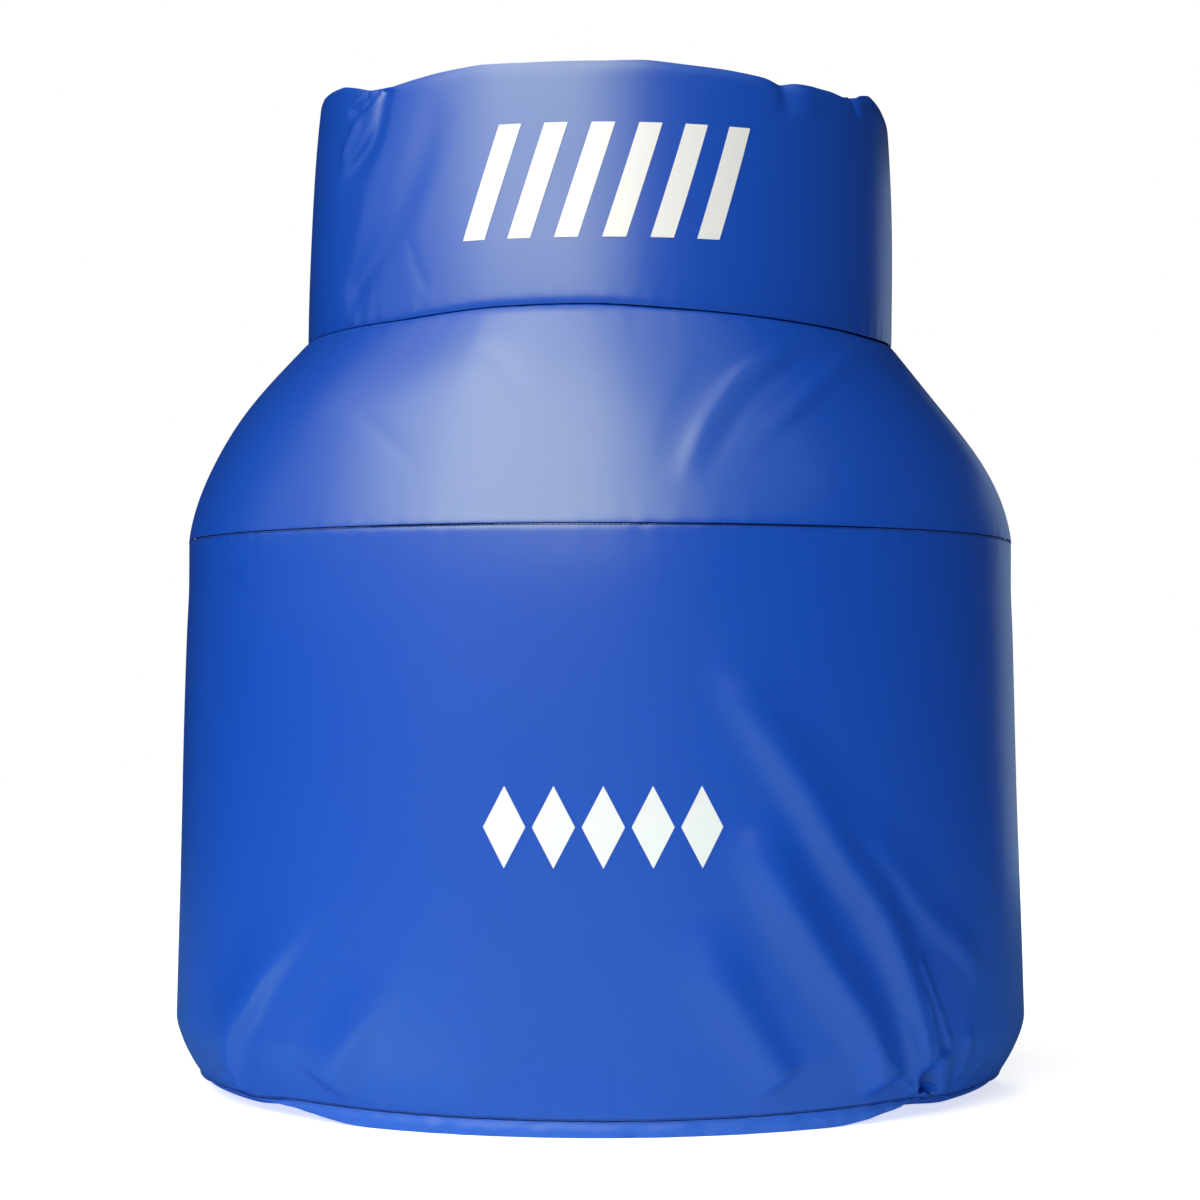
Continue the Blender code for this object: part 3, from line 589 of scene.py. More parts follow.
    def level(self, angle: Grid, z: Grid) -> Grid:
        """Height in the plain profile: the neck seam's line is drawn level."""
        below = (z - self.body_seam) / (self.neck_seam - self.body_seam)
        above = (self.height - z) / (self.height - self.neck_seam)
        share = np.clip(np.minimum(below, above), 0.0, 1.0)
        return z - (self.neck_line(angle) - self.neck_seam) * share

    def outside(self, angle: Grid, z: Grid, relief: Grid | float = 0.0) -> Grid:
        """Points of the cover's outside.

        Args:
            angle: Angles round the pad.
            z: Heights.
            relief: How far the points stand out; negative values lie deeper.

        Returns:
            Points, their three coordinates last.
        """
        out = relief - self.tuck(angle, z)
        even = self.level(angle, z)
        x = self.sway * self.up(z) - (self.half_width(even) + out) * np.cos(angle)
        y = self.rear - (self.half_depth(even) + out) * np.sin(angle)
        return np.stack([x, y, z + 0.0 * x], axis=-1)

    def inside(self, angle: Grid, z: Grid, relief: Grid | float = 0.0) -> Grid:
        """Points of the lining, which stands towards the wearer by its relief."""
        level = np.clip(z, self.body_seam, self.neck_seam + 0.003)
        down = self.down(level)
        depth = self.neck_depth + (self.body_depth - self.neck_depth) * down
        foam = self.foam(level)
        x = -(self.half_width(level) - foam - relief) * np.cos(angle)
        y = self.rear - (depth - foam - relief) * np.sin(angle)
        return np.stack([x, y, z + 0.0 * x], axis=-1)


@dataclass(frozen=True)
class Fold:
    """A fold's line over the cover, with its height and the width of its two flanks.

    Points are angle round the pad in degrees and height in metres. The flanks narrow or widen
    along the line, and the fold fades over a share of the line at both ends.
    """

    points: tuple[tuple[float, float], ...]
    height: float
    left: float
    right: float
    crease: Crease = Crease.SOFT
    narrowing: float = 1.0
    fade_in: float = 0.25
    fade_out: float = 0.15

    def line(self, radius: float, samples: int = 28) -> Grid:
        """Smooth line through the points, as arc length and height."""
        places = np.array([(math.radians(a) * radius, z) for a, z in self.points])
        ends = np.vstack([2 * places[0] - places[1], places, 2 * places[-1] - places[-2]])
        line = []
        spans = len(places) - 1
        for step in np.linspace(0, spans, samples):
            span = min(int(step), spans - 1)
            t = step - span
            before, start, end, after = ends[span : span + 4]
            line.append(
                0.5
                * (
                    2 * start
                    + (end - before) * t
                    + (2 * before - 5 * start + 4 * end - after) * t**2
                    + (3 * start - before - 3 * end + after) * t**3
                )
            )
        return np.array(line)

    def over(self, angle: Grid, z: Grid, radius: float) -> Grid:
        """Height of the fold over a grid of angles and heights."""
        line = self.line(radius)
        arc = angle * radius
        best = np.full(arc.shape, 1e9)
        side = np.zeros(arc.shape)
        along = np.zeros(arc.shape)
        for i, (start, end) in enumerate(zip(line, line[1:])):
            run = end - start
            length = max(float(run @ run), 1e-12)
            dx, dz = arc - start[0], z - start[1]
            t = np.clip((dx * run[0] + dz * run[1]) / length, 0.0, 1.0)
            distance = np.hypot(dx - t * run[0], dz - t * run[1])
            nearer = distance < best
            best = np.where(nearer, distance, best)
            side = np.where(nearer, run[0] * dz - run[1] * dx, side)
            along = np.where(nearer, (i + t) / (len(line) - 1), along)
        scale = 1 + (self.narrowing - 1) * along
        flank = np.where(side > 0, self.right, self.left) * scale
        taper = smooth(along / self.fade_in) * smooth((1 - along) / self.fade_out)
        return self.height * taper * fall(best, flank, self.crease.value)


@dataclass(frozen=True)
class Ripples:
    """Smooth irregular waves made of seeded sines."""

    seed: int
    arc_lengths: tuple[float, float]
    heights: tuple[float, float]
    count: int = 14

    def over(self, arc: Grid, z: Grid) -> Grid:
        """Waves from about -1 to 1 over arc length and height."""
        random = np.random.default_rng(self.seed)
        total = np.zeros(np.broadcast(arc, z).shape)
        for _ in range(self.count):
            across = 2 * np.pi / random.uniform(*self.arc_lengths)
            upward = 2 * np.pi / random.uniform(*self.heights)
            phase, slant = random.uniform(0, 2 * np.pi, 2)
            total += np.sin(across * arc + upward * np.cos(slant) * z + phase)
        return total / math.sqrt(self.count)


def slab_object(
    name: str, front: Grid, back: Grid, uv: Grid, finish: Material
) -> Piece:
    """Closed sheet between two equal grids of points.

    Args:
        name: Name of the piece.
        front: Points of the seen face, rows by columns by three.
        back: Points of the far face.
        uv: Surface coordinates in metres for both faces.
        finish: Material of the piece.

    Returns:
        The new object, with outward faces and smooth shading.
    """
    rows, columns = front.shape[:2]
    count = rows * columns
    numbers = np.arange(count).reshape(rows, columns)
    near = np.stack(
        [numbers[:-1, :-1], numbers[:-1, 1:], numbers[1:, 1:], numbers[1:, :-1]], axis=-1
    ).reshape(-1, 4)
    far = near[:, ::-1] + count
    rim = np.concatenate(
        [numbers[0, :-1], numbers[:-1, -1], numbers[-1, :0:-1], numbers[:0:-1, 0]]
    )
    after = np.roll(rim, -1)
    walls = np.stack([rim + count, after + count, after, rim], axis=-1)
    faces = np.concatenate([near, far, walls])
    points = np.concatenate([front.reshape(-1, 3), back.reshape(-1, 3)])
    mesh = bpy.data.meshes.new(name)
    mesh.from_pydata(points.tolist(), [], faces.tolist())
    layer = mesh.uv_layers.new(name="surface")
    both = np.concatenate([uv.reshape(-1, 2), uv.reshape(-1, 2)])
    loops = np.empty(len(mesh.loops), np.int32)
    mesh.loops.foreach_get("vertex_index", loops)
    layer.data.foreach_set("uv", both[loops].astype(np.float32).ravel())
    mesh.materials.append(finish)
    piece = linked(name, mesh)
    outward(mesh)
    mesh.shade_smooth()
    mesh.set_sharp_from_angle(angle=SHARP_EDGE)
    return piece


def outward(mesh: bpy.types.Mesh) -> None:
    """Turn a closed mesh's faces outwards."""
    shell = bmesh.new()
    shell.from_mesh(mesh)
    bmesh.ops.recalc_face_normals(shell, faces=shell.faces)
    if shell.calc_volume(signed=True) < 0:
        bmesh.ops.reverse_faces(shell, faces=shell.faces)
    shell.to_mesh(mesh)
    shell.free()


def crowded(count: int, at_ends: float) -> Grid:
    """Places from 0 to 1 that crowd towards both ends."""
    even = np.linspace(0.0, 1.0, count + 1)
    return even - at_ends * np.sin(2 * np.pi * even) / (2 * np.pi)


def drawn_to(count: int, focuses: Sequence[tuple[float, float, float]]) -> Grid:
    """Angles over half a turn, crowded about some of them.

    Args:
        count: Number of steps.
        focuses: Angle in degrees, width in degrees and weight of each crowd.

    Returns:
        The angles in radians.
    """
    dense = np.linspace(0.0, 180.0, 2001)
    weight = np.ones_like(dense)
    for centre, width, extra in focuses:
        weight += extra * fall(dense - centre, width, 2)
    total = np.concatenate([[0.0], np.cumsum((weight[1:] + weight[:-1]) / 2)])
    return np.radians(np.interp(np.linspace(0, total[-1], count + 1), total, dense))


@dataclass
class FrontCover:
    """The three front panels, with the folds, dips and puckers of the real cover."""

    form: PadForm
    seam_gap: float = 0.0004
    seam_dip: float = 0.0010
    seam_reach: float = 0.0022
    neck_roll: float = 0.0008
    neck_reach: float = 0.0030
    body_steps: tuple[int, int] = (310, 160)
    shoulder_steps: tuple[int, int] = (240, 84)
    neck_steps: tuple[int, int] = (240, 84)
    reliefs: dict[str, Relief] = field(default_factory=dict)

    # Points, height, left and right flank, crease, narrowing, fade in and fade out
    BODY_FOLDS = (
        Fold(((102.5, 0.384), (105.8, 0.340), (107.7, 0.316), (114.2, 0.260), (120.2, 0.202),
              (126.4, 0.154), (132.2, 0.083), (134.6, 0.030)),
             0.0100, 0.0130, 0.0250, Crease.SOFT, 0.66, 0.55, 0.04),
        Fold(((107.9, 0.234), (109.4, 0.211), (113.2, 0.165), (118.1, 0.119),
              (123.4, 0.075), (127.3, 0.024)),
             0.0126, 0.0165, 0.0240, Crease.SOFT, 0.70, 0.42, 0.04),
        Fold(((100.4, 0.159), (103.8, 0.118), (108.3, 0.072), (112.7, 0.034)),
             0.0078, 0.0210, 0.0220, Crease.SOFT, 0.68, 0.45, 0.06),
        Fold(((116.7, 0.270), (121.1, 0.240), (128.3, 0.197), (135.6, 0.152),
              (142.3, 0.126), (150.0, 0.084)),
             0.0034, 0.0090, 0.0180, Crease.SOFT, 0.8, 0.5, 0.2),
        Fold(((132.6, 0.129), (133.9, 0.114), (136.9, 0.082), (140.0, 0.049)),
             0.0024, 0.0050, 0.0060, Crease.FIRM, 0.7, 0.3, 0.1),
        Fold(((129.8, 0.086), (130.8, 0.0693), (132.6, 0.0413), (134.0, 0.0210)),
             0.0026, 0.0034, 0.0036, Crease.FIRM, 0.8, 0.5, 0.02),
        Fold(((123.6, 0.0624), (128.4, 0.0403), (133.7, 0.0205)),
             0.0018, 0.0040, 0.0050, Crease.FIRM, 0.7, 0.5, 0.02),
        Fold(((133.0, 0.108), (134.9, 0.071), (135.7, 0.047)),
             0.0018, 0.0040, 0.0030, Crease.FIRM, 0.8, 0.3, 0.05),
        Fold(((144.5, 0.072), (144.0, 0.048), (142.8, 0.022)),
             0.0024, 0.008, 0.008, Crease.SOFT, 1.0, 0.4, 0.1),
        Fold(((154, 0.050), (149, 0.034), (144, 0.020)),
             0.0020, 0.005, 0.005, Crease.FIRM, 1.0, 0.3, 0.2),
        Fold(((57.0, 0.184), (48.8, 0.138), (44.0, 0.109), (40.9, 0.084),
              (36.9, 0.059), (35.0, 0.014)),
             0.0072, 0.0240, 0.0068, Crease.SOFT, 1.4, 0.6, 0.02),
        Fold(((67.5, 0.150), (62.4, 0.100), (59.8, 0.076), (57.5, 0.052), (55.0, 0.024)),
             0.0056, 0.0200, 0.0095, Crease.SOFT, 1.2, 0.65, 0.05),
        Fold(((78, 0.090), (75, 0.045), (73, 0.018)),
             0.0010, 0.012, 0.012, Crease.SOFT, 0.8, 0.5, 0.1),
        Fold(((90.5, 0.150), (90.4, 0.080), (90.5, 0.016)),
             0.0006, 0.0030, 0.0030, Crease.FIRM, 1.0, 0.4, 0.05),
    )
    PINCH = (
        Fold(((137.2, 0.0540), (137.6, 0.0420), (138.4, 0.0300), (139.0, 0.0160)),
             0.0058, 0.0075, 0.0120, Crease.SOFT, 1.3, 0.35, 0.02),
        Fold(((134.8, 0.0440), (135.3, 0.0345), (135.6, 0.0280), (135.9, 0.0190)),
             -0.0150, 0.0020, 0.0036, Crease.FIRM, 1.5, 0.35, 0.02),
        Fold(((135.4, 0.0315), (136.4, 0.0255), (137.8, 0.0210)),
             0.0062, 0.0014, 0.0014, Crease.FIRM, 1.0, 0.2, 0.3),
        Fold(((136.0, 0.0230), (137.4, 0.0185), (138.6, 0.0160)),
             -0.0070, 0.0022, 0.0022, Crease.FIRM, 1.0, 0.2, 0.3),
    )
    SHOULDER_FOLDS = (
        Fold(((96.4, 0.470), (98.1, 0.489), (99.4, 0.513), (101.8, 0.538),
              (106.1, 0.566), (111.5, 0.582)),
             -0.0005, 0.0160, 0.0080, Crease.SOFT, 1.0, 0.5, 0.3),
        Fold(((100.2, 0.468), (100.8, 0.487), (102.9, 0.512), (106.1, 0.536),
              (112.2, 0.564), (119.3, 0.579), (128, 0.595)),
             0.0019, 0.0095, 0.0050, Crease.SOFT, 1.1, 0.45, 0.25),
        Fold(((103.0, 0.474), (105.6, 0.500), (109.5, 0.527), (115.2, 0.551),
              (122.5, 0.572), (131.6, 0.588)),
             -0.0009, 0.0040, 0.0060, Crease.SOFT, 1.0, 0.4, 0.3),
        Fold(((107.0, 0.480), (111.8, 0.515), (117.5, 0.534), (124.8, 0.557),
              (135.3, 0.580), (144.7, 0.593)),
             0.0020, 0.0110, 0.0050, Crease.SOFT, 1.1, 0.5, 0.25),
        Fold(((112.1, 0.499), (116.9, 0.519), (124.4, 0.543), (134.0, 0.567), (148.4, 0.593)),
             -0.0008, 0.0040, 0.0080, Crease.SOFT, 1.0, 0.4, 0.3),
        Fold(((50.4, 0.5417), (59.4, 0.5141), (66.8, 0.486)),
             -0.0007, 0.003, 0.006, Crease.SOFT, 1.0, 0.4, 0.4),
        Fold(((68.0, 0.590), (73.6, 0.5736), (77.3, 0.5532), (79.8, 0.534)),
             -0.0006, 0.006, 0.009, Crease.SOFT, 1.0, 0.5, 0.3),
    )
    NECK_FOLDS = (
        Fold(((42.9, 0.798), (42.4, 0.786), (40.3, 0.7581), (34.2, 0.7386), (26.0, 0.723)),
             -0.0030, 0.0045, 0.0110, Crease.SOFT, 1.4, 0.10, 0.35),
        Fold(((58.4, 0.790), (56.6, 0.7631), (52.3, 0.719), (44.8, 0.6714), (32.8, 0.6246)),
             -0.0025, 0.0130, 0.0160, Crease.SOFT, 0.9, 0.60, 0.10),
        Fold(((51.0, 0.790), (42.5, 0.7239), (38.2, 0.6855), (32.0, 0.655)),
             0.0013, 0.0150, 0.0120, Crease.SOFT, 1.0, 0.5, 0.4),
        Fold(((41.4, 0.7961), (36.3, 0.7851), (31.8, 0.7817)),
             -0.0020, 0.0022, 0.003, Crease.FIRM, 1.0, 0.05, 0.3),
        Fold(((38.1, 0.7955), (33.6, 0.7869), (30.4, 0.7842)),
             -0.0018, 0.0022, 0.003, Crease.FIRM, 1.0, 0.05, 0.3),
        Fold(((36.5, 0.780), (31.5, 0.760), (28.6, 0.738)),
             0.0016, 0.0040, 0.0060, Crease.SOFT, 1.2, 0.3, 0.4),
        Fold(((50.5, 0.6854), (54.0, 0.6513), (56.9, 0.6294)),
             -0.0004, 0.003, 0.005, Crease.FIRM, 1.0, 0.3, 0.2),
        Fold(((126.4, 0.799), (127.0, 0.780), (127.6, 0.762)),
             -0.0030, 0.008, 0.009, Crease.SOFT, 1.1, 0.02, 0.7),
        Fold(((133.0, 0.799), (132.0, 0.780), (131.0, 0.764)),
             0.0014, 0.010, 0.010, Crease.SOFT, 1.2, 0.02, 0.7),
        Fold(((147.5, 0.800), (148.2, 0.790), (149.5, 0.780)),
             -0.0034, 0.004, 0.004, Crease.FIRM, 1.2, 0.02, 0.4),
    )

    def build(self, finish: Material) -> None:
        """Build the three panels, from hem to rim."""
        form, gap = self.form, self.seam_gap
        self.panel(
            "body_front_panel",
            lambda angle: form.hem(angle) + gap,
            lambda angle: form.body_seam - gap + 0 * angle,
            self.body_relief,
            drawn_to(self.body_steps[0], ((137, 7, 5.0), (36, 7, 2.0))),
            crowded(self.body_steps[1], ROW_CROWDING),
            finish,
        )
        self.panel(
            "shoulder_front_panel",
            lambda angle: form.body_seam + gap + 0 * angle,
            lambda angle: form.neck_line(angle) - gap,
            self.shoulder_relief,
            drawn_to(self.shoulder_steps[0], ((4, 4, 2.0), (176, 4, 2.0))),
            crowded(self.shoulder_steps[1], ROW_CROWDING),
            finish,
        )
        self.panel(
            "neck_front_panel",
            lambda angle: form.neck_line(angle) + gap,
            self.rim,
            self.neck_relief,
            drawn_to(self.neck_steps[0], ((42, 9, 1.5), (128, 8, 1.0), (149, 4, 1.0))),
            crowded(self.neck_steps[1], ROW_CROWDING),
            finish,
        )

    # Angle in degrees and height over the form's top in millimetres
    RIM_KNOTS = (
        (0, 9.0), (10, 10.4), (20, 9.6), (27, 8.4), (32, 4.2), (38, -2.0), (45, -3.0),
        (50, -1.0), (57, 1.9), (66, 4.4), (75, 3.5), (90, 3.5), (98, 4.6), (105, 2.4),
        (114, 0.5), (122, -2.4), (126, -6.6), (129, -3.6), (134, -3.8), (140, -4.2),
        (144, -6.2), (146.5, -4.0), (149, -5.0), (151.5, 0.5), (156, 3.5), (162, 0.4),
        (170, -4.0), (180, -5.0),
    )

    def rim(self, angle: Grid) -> Grid:
        """Top edge of the neck: raised at its left corner, notched where the top puckers."""
        return self.form.height + knotted(self.RIM_KNOTS, angle, 1.1) / 1000

    def dips(
        self, angle: Grid, z: Grid, low: Grid, high: Grid, low_dip: float, low_reach: float
    ) -> Grid:
        """Hollow along the two seams that bound a panel."""
        at_high = self.seam_dip * fall(high - z, self.seam_reach, 1.2)
        at_low = low_dip * fall(z - low, low_reach, 1.2)
        return -(at_high + at_low) * (0.2 + 0.8 * np.sin(angle) ** 2)

    def calm(self, angle: Grid, width: float = 9.0) -> Grid:
        """1 over the front, falling to 0 at the rear edges."""
        degrees = np.degrees(angle)
        return smooth(np.minimum(degrees, 180 - degrees) / width)

    def body_relief(self, angle: Grid, z: Grid) -> Grid:
        """Folds of the body, the pinched corner, hem puckers and seam hollows."""
        form = self.form
        radius = form.body_depth
        arc = angle * radius
        low, high = form.hem(angle), form.body_seam
        folds = sum(fold.over(angle, z, radius) for fold in self.BODY_FOLDS)
        near_hem = fall(np.clip(z - low, 0, None), 0.016)
        pucker = Ripples(5, (0.012, 0.034), (0.05, 0.2)).over(arc, z) * 0.00055 * near_hem
        near_seam = fall(np.clip(high - z, 0, None), 0.011)
        gather = Ripples(9, (0.010, 0.030), (0.05, 0.2)).over(arc, z) * 0.00022 * near_seam
        broad = Ripples(21, (0.16, 0.42), (0.20, 0.6)).over(arc, z) * 0.0005
        total = (folds + broad) * self.calm(angle) + pucker + gather
        turn_in = 0.0018 * fall(np.clip(high - z, 0, None), 0.030, 1.5) * np.sin(angle) ** 4
        total = total + self.pocket(angle, z) - turn_in
        return total + self.dips(angle, z, low, high, 0.0014, 0.0030)

    def pocket(self, angle: Grid, z: Grid) -> Grid:
        """The pinched pleat at the right lower corner and the small one at the left."""
        degrees = np.degrees(angle)
        radius = self.form.body_depth
        pinch = sum(fold.over(angle, z, radius) for fold in self.PINCH)
        left = -0.0068 * fall(degrees - 34.6, 1.1, 1.6) * fall(z - 0.021, 0.009, 2)
        return pinch + left

    def shoulder_relief(self, angle: Grid, z: Grid) -> Grid:
        """Folds of the shoulder, its side seams and seam hollows."""
        form = self.form
        radius = form.body_depth
        arc = angle * radius
        low, high = form.body_seam, form.neck_line(angle)
        folds = sum(fold.over(angle, z, radius) for fold in self.SHOULDER_FOLDS)
        near_neck = fall(np.clip(high - z, 0, None), 0.012)
        near_body = fall(np.clip(z - low, 0, None), 0.010)
        upper = Ripples(31, (0.012, 0.034), (0.05, 0.2)).over(arc, z) * 0.00016 * near_neck
        lower = Ripples(33, (0.010, 0.030), (0.05, 0.2)).over(arc, z) * 0.00020 * near_body
        gather = upper + lower
        broad = Ripples(35, (0.12, 0.36), (0.12, 0.4)).over(arc, z) * 0.00030
        degrees = np.degrees(angle)
        to_edge = np.minimum(degrees, 180 - degrees)
        side_seam = -0.0028 * fall(to_edge - form.side_seam, 0.5, 1.5)
        lean = 0.0038 * np.cos(angle) * fall(z - 0.560, 0.045, 2)
        total = (folds + broad) * self.calm(angle, 14.0) + gather + side_seam + lean
        tuck = 0.0016 * fall(high - z, 0.0016, 1.2)
        return total - tuck + self.dips(angle, z, low, high, 0.0010, 0.0024)

    def neck_relief(self, angle: Grid, z: Grid) -> Grid:
        """Folds of the neck, its rolled lower edge and the rim."""
        form = self.form
        radius = form.neck_depth
        arc = angle * radius
        low, high = form.neck_line(angle), self.rim(angle)
        folds = sum(fold.over(angle, z, radius) for fold in self.NECK_FOLDS)
        broad = Ripples(41, (0.12, 0.34), (0.10, 0.4)).over(arc, z) * 0.00035
        near_low = fall(np.clip(z - low, 0, None), 0.014)
        gather = Ripples(43, (0.010, 0.030), (0.05, 0.2)).over(arc, z) * 0.00020 * near_low
        rounding = -0.0022 * fall(high - z, 0.0040, 1.3)
        total = (folds + broad) * self.calm(angle) + gather + rounding
        roll = 0.0004 + self.neck_roll * np.sin(angle) ** 2
        return total - roll * fall(z - low, self.neck_reach, 1.2)

    def panel(
        self,
        name: str,
        low: HeightAt,
        high: HeightAt,
        relief: Relief,
        angles: Grid,
        shares: Grid,
        finish: Material,
    ) -> None:
        """Args:
            name: CAD node that the panel stands for.
            low: Height of the lower seam by angle.
            high: Height of the upper seam by angle.
            relief: Height of folds and hollows over angle and height.
            angles: Angles of the grid's columns.
            shares: Places of the grid's rows, 0 to 1.
            finish: Material of the panel.
        """
        angle = np.broadcast_to(angles, (len(shares), len(angles)))
        bottom, top = low(angle), high(angle)
        z = bottom + (top - bottom) * shares[:, None]
        stand = relief(angle, z)
        front = self.form.outside(angle, z, stand)
        back = self.form.outside(angle, z, stand - self.form.sheet)
        self.reliefs[name] = relief
        arc = angle * self.form.body_depth
        uv = np.stack([arc, z], axis=-1)
        piece = slab_object(f"{name}_cover", front, back, uv, finish)
        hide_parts(name)
        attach(piece, PAD_BODY)
        LOG.info("%s: %d faces", name, len(piece.data.polygons))

    def film(self, node: str, angle: Grid, z: Grid, lift: float) -> Grid:
        """Points just above a panel's folded surface."""
        return self.form.outside(angle, z, self.reliefs[node](angle, z) + lift)


@dataclass
class Prints:
    """Plain white marks printed on the neck and the body."""

    cover: FrontCover
    bar_count: int = 6
    bar_width: float = 0.0175
    bar_pitch: float = 0.0355
    bar_low: float = 0.668
    bar_high: float = 0.756
    slant: float = 0.30
    neck_centre: float = 91.2
    row_centre: tuple[float, float] = (90.4, 0.2255)
    lozenge_count: int = 5
    lozenge_pitch: float = 0.0335
    lozenge_size: tuple[float, float] = (0.0290, 0.0600)
    lift: tuple[float, float] = (0.00045, 0.00010)

    def build(self, ink: Material) -> None:
        """Build the neck's slanted bars and the body's row of lozenges."""
        radius = self.cover.form.neck_depth
        middle = (self.bar_low + self.bar_high) / 2
        for number in range(self.bar_count):
            centre = (number - (self.bar_count - 1) / 2) * self.bar_pitch
            across, up = np.meshgrid(np.linspace(-0.5, 0.5, 9), np.linspace(0, 1, 33))
            z = self.bar_low + (self.bar_high - self.bar_low) * up
            arc = centre + across * self.bar_width + (z - middle) * self.slant
            angle = math.radians(self.neck_centre) + arc / radius
            self.add(f"neck_bar_{number + 1}", "neck_front_panel", angle, z, ink)
        one, other = np.meshgrid(np.linspace(-0.5, 0.5, 15), np.linspace(-0.5, 0.5, 15))
        wide, high = self.lozenge_size
        for number in range(self.lozenge_count):
            centre = (number - (self.lozenge_count - 1) / 2) * self.lozenge_pitch
            across = centre + (one - other) * wide / 2
            self.body_mark(f"body_lozenge_{number + 1}", across, (one + other) * high / 2, ink)

    def body_mark(self, name: str, across: Grid, up: Grid, ink: Material) -> None:
        """Print one mark on the body, placed in metres from the marks' centre."""
        angle = math.radians(self.row_centre[0]) + across / self.cover.form.body_depth
        self.add(name, "body_front_panel", angle, self.row_centre[1] + up, ink)

    def add(self, name: str, node: str, angle: Grid, z: Grid, ink: Material) -> None:
        """Lay one film of ink over a panel."""
        front = self.cover.film(node, angle, z, self.lift[0])
        back = self.cover.film(node, angle, z, self.lift[1])
        uv = np.stack([angle * self.cover.form.body_depth, z], axis=-1)
        piece = slab_object(name, front, back, uv, ink)
        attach(piece, PAD_BODY)


